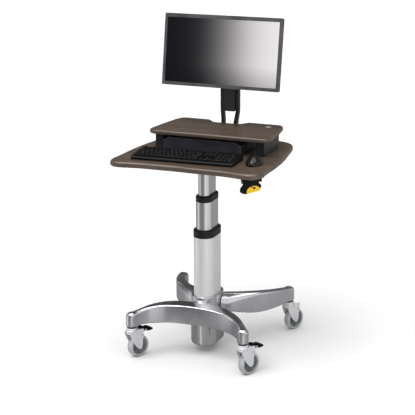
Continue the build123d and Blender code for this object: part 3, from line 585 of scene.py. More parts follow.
_b = catmull(BOW)
_bow = np.concatenate([(_b[1:4] * np.array([-1, 1, 1]))[::-1], _b])
_bt, _bl = catmull(BOW_TOP), catmull(BOW_LOW)
_bfd, _bbr = catmull(BOW_FRONT_DROP), catmull(BOW_BACK_RISE)


def _leg(t):
    p0, p1, p2 = (44.0, 18.0), (206.0, 96.0), REAR
    return [(1 - t) ** 2 * a + 2 * t * (1 - t) * b + t * t * c for a, b, c in zip(p0, p1, p2)]


_leg_line = np.array([[*_leg(t), 29 - 8.0 * t] for t in np.linspace(0, 1, 60)])
_lt = catmull([(-40, 263), (20, 261), (52, 258), (93, 252.5), (143, 245), (202, 235), (270, 223), (360, 207)])
_ll = catmull([(-40, 188), (20, 178), (52, 168), (93, 157), (143, 151), (202, 149.5), (270, 151), (360, 152)])


def near_line(xy, line):
    """Signed sideways distance to a plan polyline (left of its run is positive), distance, and half width there."""
    best = np.full(len(xy), 1e9)
    side = np.zeros(len(xy))
    half = np.zeros(len(xy))
    for a, b in zip(line[:-1], line[1:]):
        ab = b[:2] - a[:2]
        t = np.clip(((xy - a[:2]) @ ab) / (ab @ ab), 0, 1)
        rx, ry = xy[:, 0] - a[0] - t * ab[0], xy[:, 1] - a[1] - t * ab[1]
        d = np.hypot(rx, ry)
        m = d < best
        best = np.where(m, d, best)
        sg = np.sign(ab[0] * ry - ab[1] * rx)
        side = np.where(m, sg, side)
        half = np.where(m, a[2] + t * (b[2] - a[2]), half)
    return best * side, best, half


def d_oval(p, a, h=H_OVAL):
    return np.hypot(p[:, 0], np.maximum(np.abs(p[:, 1]) - h, 0)) - a


def base_sdf(p):
    x, y, z = np.abs(p[:, 0]), p[:, 1], p[:, 2]
    q = np.stack([x, y], 1)
    # curved front bow: near-sharp front arris, top falling gently forward, soft back edge
    lat, dist, half = near_line(q, _bow)
    top = np.interp(x, _bt[:, 0], _bt[:, 1])
    u = np.clip(lat / half, -1.15, 1.15)
    top = top + np.where(u < 0, u * np.interp(x, _bfd[:, 0], _bfd[:, 1]), u * np.interp(x, _bbr[:, 0], _bbr[:, 1])) + 1.2 * (1 - u * u)
    tz = z - top
    low = np.interp(x, _bl[:, 0], _bl[:, 1]) - z
    front = np.where(lat < 0, dist, -dist) - half
    rear = np.where(lat > 0, dist, -dist) - half
    r_front = np.interp(x, [0, 150, 200, 235, 263], [6, 6.5, 9, 13, 16])
    bow = rmax(rmax(rmax(front, tz, r_front), rear, 10.0), low, 5.0)
    # rear leg: big soft shoulder on the outer side near the hub, tightening outwards
    lat2, dist2, half2 = near_line(q, _leg_line)
    tz2 = z - np.interp(y, _lt[:, 0], _lt[:, 1])
    low2 = np.interp(y, _ll[:, 0], _ll[:, 1]) - z
    run = np.hypot(x - 44, y - 18)
    r_out = np.interp(run, [0, 40, 110, 190, 300, 400], [50, 50, 30, 13, 8, 8])
    out_ = np.where(lat2 < 0, dist2, -dist2) - half2
    in_ = np.where(lat2 > 0, dist2, -dist2) - half2
    leg = rmax(rmax(rmax(out_, tz2, r_out), in_, 10.0), low2, 6.0)
    hub_plan = d_oval(p, 59.0)
    # narrow relief where the leg leaves the hub
    slot = np.maximum(np.maximum(np.maximum(-(hub_plan - 0.4), hub_plan - 4.6), y - 70), 196 - z)
    # hub, flared where it runs down on to the bow
    hub = rmax(rmax(hub_plan, z - 268.0, 4.0), 150.0 - z, 3.0)
    web = np.maximum(np.maximum(x - 40, np.abs(y + 88) - 22), np.maximum(z - 232, 165 - z))
    body = smin(smin(hub, web, 10.0), bow, 20.0)
    body = smin(body, np.maximum(leg, -slot), 4.0)
    # caster sockets run out of the arm ends
    for cx, cy, k, zt in ((FRONT[0], FRONT[1], 9.0, 211.0), (REAR[0], REAR[1], 9.0, 212.0)):
        r = np.hypot(x - cx, y - cy)
        s = rmax(rmax(r - 22.0, z - zt, 15.0), 150.0 - z, 1.6)
        body = smin(body, s, k)
    bore = -d_oval(p, 47.3)
    return rmax(body, bore, 1.6)


STEP = 2.3
pts, faces, nrm = surface_nets(base_sdf, (-296, -268, 143), (296, 371, 275), STEP)
pts = pts / 1000 + P(AX, AY, 0)
me = to_mesh("base_casting_skin", pts, faces, nrm)
place("base_casting_skin", me, "base", MAT["polished_aluminium"], ["base_casting"])

# ======================================================================= lift column
A_HOUSE, Z_HOUSE = 61.0, zspan("column_housing")
pr = [(A_HOUSE - 16, Z_HOUSE[0])] + arc(A_HOUSE - 14, Z_HOUSE[0] + 14, 14, -90, 0, 8) + [(A_HOUSE, z) for z in (80, 110, 140)] + [(A_HOUSE, 150)] \
    + [(A_HOUSE - 2, 150), (A_HOUSE - 2, 60)]
me = oval_loft("housing_shell", pr, closed=False, cap0=True, cap1=True)
place("housing_shell", me, "base", MAT["brushed_steel"], ["column_housing"])


def tube(node, name, a, wall, body, mat):
    z0, z1 = zspan(node)
    c = 0.8
    pr = [(a - c, z0), (a, z0 + c)] + [(a, z0 + (z1 - z0) * k / 6) for k in range(1, 6)] + [(a, z1 - c), (a - c, z1),
          (a - wall + c, z1), (a - wall, z1 - c), (a - wall, z0 + c), (a - wall + c, z0)]
    me = oval_loft(name, pr)
    place(name, me, body, mat, [node])


tube("column_outer_tube", "outer_tube_drawn", 47.0, 3.0, "base", MAT["satin_aluminium"])
tube("column_mid_tube", "mid_tube_drawn", 36.0, 2.5, "column_mid", MAT["brushed_steel"])
tube("column_inner_tube", "inner_tube_drawn", 25.5, 2.5, "worktop", MAT["brushed_steel"])


def collar(node, name, a_out, a_in, z0, z1, plug_a, plug_z, body, r_top):
    pr = arc(a_out + 0.2 - 2.2, z0 + 2.2, 2.2, -90, 0, 4)
    zc = (z0 + z1) / 2 - 2
    pr += [(a_out + 0.2, zc - 4), (a_out - 0.5, zc - 2.6), (a_out - 0.5, zc + 0.4), (a_out + 0.2, zc + 1.8)]
    pr += arc(a_out + 0.2 - r_top, z1 - r_top, r_top, 0, 90, 7)
    pr += arc(a_in + 0.9, z1 - 0.9, 0.9, 90, 180, 3)
    pr += [(a_in, plug_z), (plug_a - 0.4, plug_z), (plug_a, plug_z + 0.4), (plug_a, z0)]
    me = oval_loft(name, pr)
    place(name, me, body, MAT["black_plastic"], [node])


lo_z, up_z = zspan("collar_lower"), zspan("collar_upper")
collar("collar_lower", "collar_lower_moulded", 47.9, 36.1, 535.0, lo_z[1], 43.9, lo_z[0], "base", 8.0)
collar("collar_upper", "collar_upper_moulded", 36.9, 25.6, 695.0, up_z[1], 33.4, up_z[0], "column_mid", 7.0)


# ======================================================================= boards
def outline_at(node, z):
    """Closed outline of a CAD node where its wall is upright, walked along mesh edges (m)."""
    me = NODES[node].data
    co = np.array([v.co for v in me.vertices])
    key = {}
    canon = []
    for i, c in enumerate(co):
        k = tuple(np.round(c, 5))
        canon.append(key.setdefault(k, i))
    on = np.abs(co[:, 2] - z) < 2e-5
    nb = {}
    for e in me.edges:
        a, b = canon[e.vertices[0]], canon[e.vertices[1]]
        if a != b and on[a] and on[b]:
            nb.setdefault(a, set()).add(b)
            nb.setdefault(b, set()).add(a)
    loops, seen = [], set()
    for s in nb:
        if s in seen or len(nb[s]) != 2:
            continue
        loop, prev, cur = [s], None, s
        seen.add(s)
        while True:
            nx = [q for q in nb[cur] if q != prev and q not in seen]
            if not nx:
                break
            prev, cur = cur, nx[0]
            seen.add(cur)
            loop.append(cur)
        loops.append(co[loop])
    return max(loops, key=lambda l: np.ptp(l[:, 0]) * np.ptp(l[:, 1]))


def resample(loop, step, smooth=3):
    p = np.array(loop)[:, :2]
    area = 0.5 * np.sum(p[:, 0] * np.roll(p[:, 1], -1) - p[:, 1] * np.roll(p[:, 0], -1))
    if area < 0:
        p = p[::-1]
    d = np.linalg.norm(np.roll(p, -1, 0) - p, axis=1)
    s = np.concatenate([[0], np.cumsum(d)])
    n = int(s[-1] / step)
    t = np.linspace(0, s[-1], n, endpoint=False)
    q = np.concatenate([p, p[:1]])
    out = np.stack([np.interp(t, s, q[:, 0]), np.interp(t, s, q[:, 1])], 1)
    for _ in range(smooth):
        out = 0.25 * np.roll(out, 1, 0) + 0.5 * out + 0.25 * np.roll(out, -1, 0)
    return out


def board(name, node, body, loop, profile, mats, hole=()):
    """Board with a moulded edge: profile is (inset, z) pairs in mm from the underside up."""
    tan = np.roll(loop, -1, 0) - np.roll(loop, 1, 0)
    tan /= np.linalg.norm(tan, axis=1)[:, None]
    inw = np.stack([-tan[:, 1], tan[:, 0]], 1)
    n = len(loop)
    rings = [np.concatenate([loop + inw * (d / 1000), np.full((n, 1), z / 1000)], 1) for d, z in profile]
    v = np.concatenate(rings)
    f = []
    for i in range(len(rings) - 1):
        for k in range(n):
            l = (k + 1) % n
            f.append((i * n + k, i * n + l, (i + 1) * n + l, (i + 1) * n + k))
    m = (len(rings) - 1) * n
    me = bpy.data.meshes.new(name)
    me.from_pydata([tuple(c) for c in v], [], f)
    bm = bmesh.new()
    bm.from_mesh(me)
    bm.verts.ensure_lookup_table()
    ends = [[bm.edges.get((bm.verts[o + k], bm.verts[o + (k + 1) % n])) for k in range(n)] for o in (0, m)]
    if hole:
        # stepped hole: (x, y, [(radius, z), ...]) from the underside up
        hx, hy, steps = hole
        prev = None
        for i, (hr, hz) in enumerate(steps):
            ring = [bm.verts.new((hx + hr / 1000 * cos(2 * pi * k / 40), hy + hr / 1000 * sin(2 * pi * k / 40), hz / 1000)) for k in range(40)]
            if i in (0, len(steps) - 1):
                ends[0 if i == 0 else 1] += [bm.edges.new((ring[k], ring[(k + 1) % 40])) for k in range(40)]
            if prev:
                for k in range(40):
                    bm.faces.new((prev[k], prev[(k + 1) % 40], ring[(k + 1) % 40], ring[k]))
            prev = ring
    for edges in ends:
        bmesh.ops.triangle_fill(bm, use_beauty=True, use_dissolve=False, edges=edges)
    bmesh.ops.recalc_face_normals(bm, faces=bm.faces)
    zb = profile[0][1] / 1000 + 0.0035
    for q in bm.faces:
        q.smooth = True
        q.material_index = 1 if all(w.co.z < zb for w in q.verts) else 0
    bm.to_mesh(me)
    bm.free()
    sharp_by_angle(me, 40)
    return place(name, me, body, mats, [node])


def edge_profile(z0, z1, r, flat=0.0, n=8):
    lowr = r * 0.8
    return arc(lowr, z0 + lowr, lowr, 270, 180, n) + arc(r, z1 - r, r, 180, 90, n)


wz0, wz1 = zspan("worksurface")
sz0, sz1 = zspan("riser_shelf")
mid = (wz0 + 11.0) / 1000
try:
    wl = resample(outline_at("worksurface", mid), 0.004)
except Exception:
    co = np.array([v.co for v in NODES["worksurface"].data.vertices])
    print("outline z values", np.unique(np.round(co[:, 2], 4))[:40])
    raise
sl_ = resample(outline_at("riser_shelf", (sz0 + 8.0) / 1000), 0.003, 2)
board("worksurface_board", "worksurface", "worktop", wl, edge_profile(wz0, wz1, 11.5), [MAT["laminate"], MAT["backer"]])
_gl, _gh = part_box("shelf_grommet")
_gr = (_gh.x - _gl.x) * 500
board("riser_shelf_board", "riser_shelf", "worktop", sl_, edge_profile(sz0, sz1, 8.5), [MAT["laminate"], MAT["backer"]],
      ((_gl.x + _gh.x) / 2, (_gl.y + _gh.y) / 2, [(_gr - 2.8, sz0), (_gr - 2.8, sz1 - 2.1), (_gr + 0.15, sz1 - 2.1), (_gr + 0.15, sz1)]))

for nd, wdt in (("riser_bracket_left", 0.6), ("riser_bracket_right", 0.6), ("computer_case", 2.2), ("monitor_post", 0.8),
                ("carriage", 0.6), ("monitor_bezel", 1.2), ("monitor_back_cover", 1.2), ("keyboard_case", 0.8),
                ("lever_bracket", 0.6), ("vesa_plate", 0.5), ("tilt_bracket", 0.5), ("mounting_plate", 0.5)):
    soften(nd, wdt, 2)

# ======================================================================= casters
JOINTS = {j["name"]: j for j in frame["record"]["behaviour"]["joints"]}
Z_AXLE, TRAIL = 50.0, 34.0


def sd_poly(u, v, poly):
    """Signed distance to a closed polygon."""
    d = np.full(u.shape, 1e18)
    inside = np.zeros(u.shape, bool)
    n = len(poly)
    for i in range(n):
        ax_, ay_ = poly[i]
        bx, by = poly[(i + 1) % n]
        ex, ey = bx - ax_, by - ay_
        wx, wy = u - ax_, v - ay_
        t = np.clip((wx * ex + wy * ey) / (ex * ex + ey * ey), 0, 1)
        d = np.minimum(d, (wx - t * ex) ** 2 + (wy - t * ey) ** 2)
        if ey != 0:
            cr = ((ay_ > v) != (by > v)) & (u < ex * (v - ay_) / ey + ax_)
            inside ^= cr
    return np.where(inside, -np.sqrt(d), np.sqrt(d))


CHEEK = [(-22, 127), (-18, 131), (47, 131), (55, 126), (52, 104), (47.5, 80), (45, 56), (42, 44), (36, 37), (30, 36.5), (23, 40),
         (14, 48), (4, 60), (-10, 81), (-20, 103), (-24, 117)]
CROWN = [(-24.5, 116), (-24.5, 128), (-15, 131), (30, 131), (30, 114), (-15, 114)]


def fork_sdf(p):
    x, y, z = p[:, 0], p[:, 1], p[:, 2]
    r = np.hypot(x, y)
    head = rmax(rmax(r - 22.0, z - 142.0, 4.5), 124.0 - z, 1.0)
    race = np.hypot(r - 23.2, z - 132.2) - 2.4           # groove between the swivel head and the crown
    crown = rmax(rmax(r - 23.2, z - 131.0, 2.0), 113.4 - z, 2.2)
    roof = rmax(rmax(rmax(np.abs(x) - 21.5, z - 131.0, 2.0), 118.5 - z, 1.2), np.maximum(-y, y - 27.0), 1.2)
    body = smin(smin(crown, roof, 3.0), head, 1.0)
    # pressed cheeks: a flat blade with a rounded rim and a shallow stamped panel
    side = sd_poly(y, z, CHEEK) + 0.6
    ax_ = np.abs(x)
    blade = rmax(rmax(side, ax_ - 21.5, 1.3), 18.3 - ax_, 0.9)
    body = smin(body, blade, 2.4)
    panel = rmax(side + 5.0, 20.9 - ax_, 0.5)
    body = np.maximum(body, -panel)
    body = np.maximum(body, -race)
    # round lightening holes in the crown, all round but for the back, over the roof
    for k in range(8):
        t = radians(22.5 + 45 * k)
        hx, hy = 23.6 * cos(t), 23.6 * sin(t)
        if hy > 10:
            continue
        body = np.maximum(body, -(np.sqrt((x - hx) ** 2 + (y - hy) ** 2 + (z - 121.0) ** 2) - 3.5))
    # openings for the stem and the axle
    body = np.maximum(body, -(np.maximum(r - 6.1, z - 150)))
    return np.maximum(body, -(np.hypot(y - TRAIL, z - Z_AXLE) - 4.15))


def pad_sdf(p, poly, rr, hx=16.5, ribs=()):
    x, y, z = p[:, 0], p[:, 1], p[:, 2]
    d = rmax(sd_poly(y, z, poly) + 0.3, np.abs(x) - hx, rr)
    for ry, rz in ribs:
        d = np.maximum(d, -(np.maximum(np.hypot(y - ry, z - rz) - 1.1, np.abs(x) - hx + 3.2)))
    return d


PAD1 = [(46, 114.5), (46.5, 133.5), (49, 135.5), (62, 133.5), (66, 129.5), (66.5, 113.5)]
PAD2 = [(75, 110.5), (75.5, 125.5), (78, 127.5), (89, 127), (100, 122.5), (109, 115.5), (109.5, 112.5), (96, 108.5)]
STRIP = [(36, 123), (46, 124.5), (66, 122), (80, 118.5), (102, 114.5), (102, 111), (80, 113), (64, 116), (50, 115.5), (44, 113.5)]


def lathe_x(profile, seg, cx=0.0):
    """Closed profile of (x, r) pairs turned about the local X axis; returns points about the axle and quads."""
    pts_, f = [], []
    n = len(profile)
    for k in range(seg):
        t = 2 * pi * k / seg
        pts_ += [(px + cx, pr_ * cos(t), pr_ * sin(t)) for px, pr_ in profile]
    for k in range(seg):
        l = (k + 1) % seg
        for i in range(n):
            j = (i + 1) % n
            f.append((k * n + i, k * n + j, l * n + j, l * n + i))
    return pts_, f


def mesh_from(name, pts_, faces_, sharp=35):
    me_ = bpy.data.meshes.new(name)
    me_.from_pydata([(q[0] / 1000, q[1] / 1000, q[2] / 1000) for q in pts_], [], faces_)
    me_.validate()
    bm_ = bmesh.new()
    bm_.from_mesh(me_)
    bmesh.ops.recalc_face_normals(bm_, faces=bm_.faces)
    bm_.to_mesh(me_)
    bm_.free()
    sharp_by_angle(me_, sharp)
    return me_


def join_pts(parts_):
    P_, F_ = [], []
    for q, f in parts_:
        o = len(P_)
        P_ += list(q)
        F_ += [tuple(i + o for i in g_) for g_ in f]
    return P_, F_


def tyre_mesh():
    prof = [(-12.6, 39.05), (-15.4, 39.6), (-16.0, 42.0)]
    prof += [(-16.0 + 6.0 - 6.0 * cos(radians(t)), 44.0 + 5.4 * sin(radians(t))) for t in range(0, 91, 15)]
    prof += [(-7, 49.7), (-4.6, 49.8), (-4.2, 49.0), (-3.4, 49.0), (-3.0, 49.95), (0, 50.0)]
    prof = prof + [(-a_, b_) for a_, b_ in reversed(prof[:-1])]
    q, f = lathe_x(prof, 96)
    return mesh_from("tyre", q, f)


def wheel_mesh():
    prof = [(-13.0, 39.0), (-13.0, 34.5), (-12.4, 33.6), (-9.0, 32.6), (-7.6, 30.0), (-7.0, 22.0), (-8.4, 15.0), (-12.0, 13.4), (-17.2, 13.0),
            (-17.5, 12.6), (-17.5, 5.2), (-17.0, 4.4)]
    prof = prof + [(-a_, b_) for a_, b_ in reversed(prof)]
    parts_ = [lathe_x(prof, 64)]
    # ribs from the hub to the rim
    for sgn in (-1, 1):
        for k in range(6):
            t = 2 * pi * (k + 0.5) / 6
            u_, v_ = (cos(t), sin(t)), (-sin(t), cos(t))
            qs = []
            for rr_, hw, xo in ((12.5, 2.6, 11.6), (20.0, 1.9, 10.2), (33.8, 1.9, 11.8)):
                for hw_, xx in ((-hw, 6.5), (hw, 6.5), (hw * 0.7, xo), (-hw * 0.7, xo)):
                    qs.append((sgn * xx, rr_ * u_[0] + hw_ * v_[0], rr_ * u_[1] + hw_ * v_[1]))
            fs = [(0, 3, 2, 1), (8, 9, 10, 11)]
            for b_ in (0, 4):
                for i in range(4):
                    j = (i + 1) % 4
                    fs.append((b_ + i, b_ + j, b_ + 4 + j, b_ + 4 + i))
            parts_.append((qs, fs))
    q, f = join_pts(parts_)
    return mesh_from("wheel", q, f)


def hex_ring(rx, rr_, seg=6):
    return [(rx, rr_ * cos(2 * pi * k / seg), rr_ * sin(2 * pi * k / seg)) for k in range(seg)]


def axle_mesh():
    prof = [(-21.5, 4.0), (-21.5, 7.9), (-22.6, 7.9), (-22.8, 6.0), (-24.4, 6.0), (-24.9, 5.4), (-24.9, 3.0), (-24.5, 2.6)]
    sh = [(-21.5, 4.0), (-21.5, 7.6), (-21.8, 7.9), (-22.5, 7.9), (-22.8, 7.6)]
    # shaft with washers; hexagon nut on one end, round head on the other
    prof = [(-24.6, 0.02), (-24.6, 5.0), (-24.2, 5.9), (-22.8, 6.6), (-22.7, 7.7), (-21.6, 7.7), (-21.5, 4.0), (21.5, 4.0), (21.6, 7.7), (22.6, 7.7), (22.7, 4.0),
            (24.9, 4.0), (25.0, 3.6), (25.0, 0.02)]
    parts_ = [lathe_x(prof, 40)]
    rings = [hex_ring(22.75, 6.5), hex_ring(24.2, 6.5), hex_ring(24.5, 6.1), hex_ring(24.5, 4.05), hex_ring(22.75, 4.05)]
    qs = [v for rg_ in rings for v in rg_]
    fs = []
    for a_ in range(5):
        b_ = (a_ + 1) % 5
        for k in range(6):
            l = (k + 1) % 6
            fs.append((a_ * 6 + k, a_ * 6 + l, b_ * 6 + l, b_ * 6 + k))
    parts_.append((qs, fs))
    q, f = join_pts(parts_)
    return mesh_from("axle", q, f, 30)


fs_ = 1.45
fp, ff, fn = surface_nets(fork_sdf, (-28, -28, 33), (28, 59, 146), fs_)
fork_me = to_mesh("fork_mesh", fp / 1000, ff, fn)
t_me, w_me, a_me = tyre_mesh(), wheel_mesh(), axle_mesh()
ps_ = 1.2
pd = []
for nm_, poly, ribs in (("pad_a", PAD1, [(51, 135.4), (55, 134.9), (59, 134.2)]),
                        ("pad_b", PAD2, [(80, 127.6), (84.5, 127.4), (89, 127.2), (93.5, 125.4), (98, 123.5)])):
    ys_ = [q[0] for q in poly]
    zs_ = [q[1] for q in poly]
    q, f, n_ = surface_nets(lambda p, poly=poly, ribs=ribs: pad_sdf(p, poly, 2.2, 16.5, ribs), (-19, min(ys_) - 3, min(zs_) - 3),
                            (19, max(ys_) + 3, max(zs_) + 3), ps_)
    pd.append(to_mesh(nm_, q / 1000, f, n_))
q, f, n_ = surface_nets(lambda p: np.maximum(smin(pad_sdf(p, STRIP, 1.2, 13.0), np.maximum(np.hypot(p[:, 1] - 40, p[:, 2] - 119) - 6.5, np.abs(p[:, 0]) - 16.3), 2.0),
                                             -(np.hypot(p[:, 1] - 40, p[:, 2] - 119) - 3.05)),
                        (-19, 31, 107), (19, 106, 129), ps_)
strip_me = to_mesh("pedal_strip", q / 1000, f, n_)

for tag in ("front_left", "front_right", "rear_left", "rear_right"):
    piv = JOINTS["caster_swivel_" + tag]["pos_m"]
    axl = JOINTS["wheel_spin_" + tag]["pos_m"]
    yaw = math.atan2(-(axl[0] - piv[0]), axl[1] - piv[1])
    frame_m = Matrix.Translation((piv[0], piv[1], 0)) @ Matrix.Rotation(yaw, 4, "Z")
    axle_m = frame_m @ Matrix.Translation((0, TRAIL / 1000, Z_AXLE / 1000))
    place("fork_" + tag, fork_me.copy(), "swivel_" + tag, MAT["zinc_steel"], ["caster_fork_" + tag], matrix=frame_m)
    place("axle_" + tag, a_me.copy(), "swivel_" + tag, MAT["zinc_steel"], ["caster_axle_" + tag], matrix=axle_m)
    place("tyre_" + tag, t_me.copy(), "wheel_" + tag, MAT["tyre_grey"], ["caster_tyre_" + tag], matrix=axle_m)
    place("wheel_centre_" + tag, w_me.copy(), "wheel_" + tag, MAT["wheel_grey"], ["caster_wheel_" + tag], matrix=axle_m)
    if tag.startswith("front"):
        body_ = "pedal_" + tag
        place("pedal_strip_" + tag, strip_me.copy(), body_, MAT["zinc_steel"], ["brake_pedal_" + tag], matrix=frame_m)
        for nm_, m_ in zip("ab", pd):
            place("pedal_pad_%s_%s" % (nm_, tag), m_.copy(), body_, MAT["lever_black"], (), matrix=frame_m)

# ======================================================================= keyboard keys
kj = JOINTS["keys_press"]["axis"]
k_slope = math.acos(max(-1.0, min(1.0, -kj[2])))
k_yaw = math.atan2(-kj[0], kj[1])
RK = (Matrix.Rotation(k_yaw, 4, "Z") @ Matrix.Rotation(k_slope, 4, "X")).to_3x3()
RKn = np.array(RK)
kme = NODES["keycaps"].data
kco = np.array([v.co for v in kme.vertices])
parent = list(range(len(kco)))


def find(i):
    while parent[i] != i:
        parent[i] = parent[parent[i]]
        i = parent[i]
    return i


keyed = {}
for i, c in enumerate(kco):
    kk = tuple(np.round(c, 5))
    if kk in keyed:
        parent[find(i)] = find(keyed[kk])
    else:
        keyed[kk] = i
for e_ in kme.edges:
    a_, b_ = find(e_.vertices[0]), find(e_.vertices[1])
    if a_ != b_:
        parent[a_] = b_
isl = {}
for i in range(len(kco)):
    isl.setdefault(find(i), []).append(i)
kv, kf = [], []


def rrect(hw, hd, r, n=4):
    out = []
    for cx_, cy_, a0 in ((hw - r, hd - r, 0), (-hw + r, hd - r, 90), (-hw + r, -hd + r, 180), (hw - r, -hd + r, 270)):
        out += [(cx_ + r * cos(radians(a0 + 90 * k / n)), cy_ + r * sin(radians(a0 + 90 * k / n))) for k in range(n + 1)]
    return out


for ids in isl.values():
    loc_ = kco[ids] @ RKn * 1000
    lo_k, hi_k = loc_.min(0), loc_.max(0)
    cx_, cy_ = (lo_k[:2] + hi_k[:2]) / 2
    hw, hd = (hi_k[:2] - lo_k[:2]) / 2
    z0_, z1_ = lo_k[2], hi_k[2]
    tp = (z1_ - z0_) * math.tan(radians(13))
    rings = []
    for ins, zz, rr_ in ((0.0, z0_, 0.8), (0.25 * tp, z0_ + 0.3 * (z1_ - z0_), 1.1), (0.62 * tp, z0_ + 0.68 * (z1_ - z0_), 1.6), (0.9 * tp, z1_ - 0.75, 2.0),
                         (tp + 0.12, z1_ - 0.2, 2.3), (tp + 0.65, z1_ - 0.02, 2.6), (tp + 1.5, z1_ - 0.16, 2.6), (tp + 3.4, z1_ - 0.52, 2.2)):
        a_, b_ = hw - ins, hd - ins
        rr_ = min(rr_, a_ * 0.8, b_ * 0.8)
        rings.append([(cx_ + q[0], cy_ + q[1], zz) for q in rrect(a_, b_, rr_)])
    o = len(kv)
    n_ = len(rings[0])
    for rg_ in rings:
        kv += [tuple(RKn @ np.array(q)) for q in rg_]
    for i in range(len(rings) - 1):
        for k in range(n_):
            l = (k + 1) % n_
            kf.append((o + i * n_ + k, o + i * n_ + l, o + (i + 1) * n_ + l, o + (i + 1) * n_ + k))
    c_top = len(kv)
    kv.append(tuple(RKn @ np.array((cx_, cy_, z1_ - 0.72))))
    base_ = o + (len(rings) - 1) * n_
    for k in range(n_):
        kf.append((base_ + k, base_ + (k + 1) % n_, c_top))
    c_bot = len(kv)
    kv.append(tuple(RKn @ np.array((cx_, cy_, z0_))))
    for k in range(n_):
        kf.append((o + (k + 1) % n_, o + k, c_bot))
me = mesh_from("keycaps_dished", kv, kf, 50)
place("keycaps_dished", me, "keys", MAT["key_plastic"], ["keycaps"])

# ======================================================================= release lever
lj = JOINTS["release_lever_pull"]
ldir = Vector(lj["axis"]).normalized()
# local frame of the lever: w along the pin, n outwards, z up, origin on the pin's centre (7 mm off the outline's zero)
LEVR = np.array([[ldir.x, ldir.y, 0], [ldir.y, -ldir.x, 0], [0, 0, 1]])
LEVO = np.array(lj["pos_m"], float)


def from_lever(q):
    return np.asarray(q, float) @ LEVR / 1000 + LEVO


PADDLE = [(-36, -1.5), (-38.5, -11.5), (-50, -25.5), (-53, -36.5), (-47, -47.5), (-29, -53), (-7, -51.5), (17, -46), (39, -37), (45.5, -27.5),
          (42, -18.5), (34.5, -11.5), (36, -1.5)]
_pc = catmull([PADDLE[0]] + PADDLE[1:-1] + [PADDLE[-1]], 5)
_pc = [tuple(q) for q in _pc]


def paddle_sdf(p):
    w, n, z = p[:, 0], p[:, 1], p[:, 2]
    out = sd_poly(w, z, _pc) + 0.4
    # shell: outer face bowed
    bow_ = 0.0016 * (w + 4) ** 2 * 0.4 + 0.0022 * (z + 26) ** 2 * 0.35
    d = rmax(rmax(out, n - 6.9 + bow_, 3.0), -4.9 - n, 2.0)
    d = np.maximum(d, -rmax(out + 5.0, n - 0.5, 2.0)) if False else d
    barrel = rmax(np.hypot(n, z) - 7.0, np.abs(w) - 36.0, 1.0)
    d = smin(d, barrel, 3.0)
    return np.maximum(d, -(np.hypot(n, z) - 3.7))


ls_ = 1.5
q, f, n_ = surface_nets(paddle_sdf, (-57, -10, -57), (49, 11, 10), ls_)
place("lever_paddle_moulded", to_mesh("lever_paddle_moulded", from_lever(q), f[:, ::-1], n_ @ LEVR), "release_lever", MAT["lever_black"],
      ["lever_paddle"])
NODES["lever_bracket"].data.materials[0] = MAT["lever_black"]
NODES["keyboard_case"].data.materials[0] = MAT["keyboard_black"]


def disc_on_lever(name, w, z, rw, rz, n0, n1, mat, seg=28):
    """Small printed mark: a thin raised disc on the label."""
    qs = []
    for nn, s_ in ((n0, 1.0), (n1 - 0.1, 1.0), (n1, 0.93)):
        qs += [(w + rw * s_ * cos(2 * pi * k / seg), nn, z + rz * s_ * sin(2 * pi * k / seg)) for k in range(seg)]
    fs = []
    for i in range(2):
        for k in range(seg):
            l = (k + 1) % seg
            fs.append((i * seg + k, i * seg + l, (i + 1) * seg + l, (i + 1) * seg + k))
    fs.append(tuple(range(seg)))
    fs.append(tuple(2 * seg + k for k in range(seg))[::-1])
    me_ = mesh_from(name, from_lever(qs) * 1000, fs, 30)
    place(name, me_, "release_lever", MAT[mat], ())


disc_on_lever("label_mark_dark", 8.5, -30.0, 6.6, 4.6, 8.1, 8.55, "label_black")
disc_on_lever("label_mark_red", -4.0, -24.0, 4.8, 3.0, 8.1, 8.55, "label_red")

# ======================================================================= small moulded details
def slot_bars(name, items, body, mat, matrix=None):
    """Set of low rounded bars standing on an XZ face: (x, z, width, height, y0, y1, corner radius), mm; y1 is the outer end."""
    qs, fs = [], []
    for cx_, cz_, w_, h_, y0_, y1_, r_ in items:
        sgn = 1 if y1_ > y0_ else -1
        rings_ = []
        for yy, ins in ((y0_, 0.0), (y1_ - 0.3 * sgn, 0.0), (y1_, 0.3)):
            rings_.append([(cx_ + q[0], yy, cz_ + q[1]) for q in rrect(w_ / 2 - ins, h_ / 2 - ins, max(0.05, min(r_, w_ / 2 - 0.01, h_ / 2 - 0.01) - ins))])
        o_ = len(qs)
        m_ = len(rings_[0])
        for rg_ in rings_:
            qs += rg_
        for i in range(2):
            for k in range(m_):
                l = (k + 1) % m_
                fs.append((o_ + i * m_ + k, o_ + i * m_ + l, o_ + (i + 1) * m_ + l, o_ + (i + 1) * m_ + k))
        fs.append(tuple(o_ + k for k in range(m_)))
        fs.append(tuple(o_ + 2 * m_ + k for k in range(m_)))
    me_ = mesh_from(name, qs, fs, 30)
    place(name, me_, body, MAT[mat], (), matrix=matrix)


# monitor frame of reference: middle of the front face, turned back by its tilt
_tj, _bj = JOINTS["monitor_tilt"]["pos_m"], JOINTS["monitor_button_press"]["axis"]
_tilt = math.atan2(-_bj[2], _bj[1])
MON = Matrix.Translation(Vector((_tj[0], _tj[1] - 0.058 * cos(_tilt), _tj[2] + 0.058 * sin(_tilt)))) @ Matrix.Rotation(-_tilt, 4, "X")
# vent slots: near-black bars stand on the cover where the openings are; their dark is painted shade for the slots
vents = []
for r_ in range(6):
    for c_ in range(11):
        x_ = -150 + 30 * c_
        vents.append((x_, 72 + 6.2 * r_, 22, 2.4, 39.2, 40.5, 1.1))
for c_ in range(15):
    vents.append((-84 + 12 * c_, -92, 7.5, 2.2, 39.2, 40.5, 1.0))
slot_bars("monitor_vent_shade_bars", vents, "monitor", "lever_black", MON)
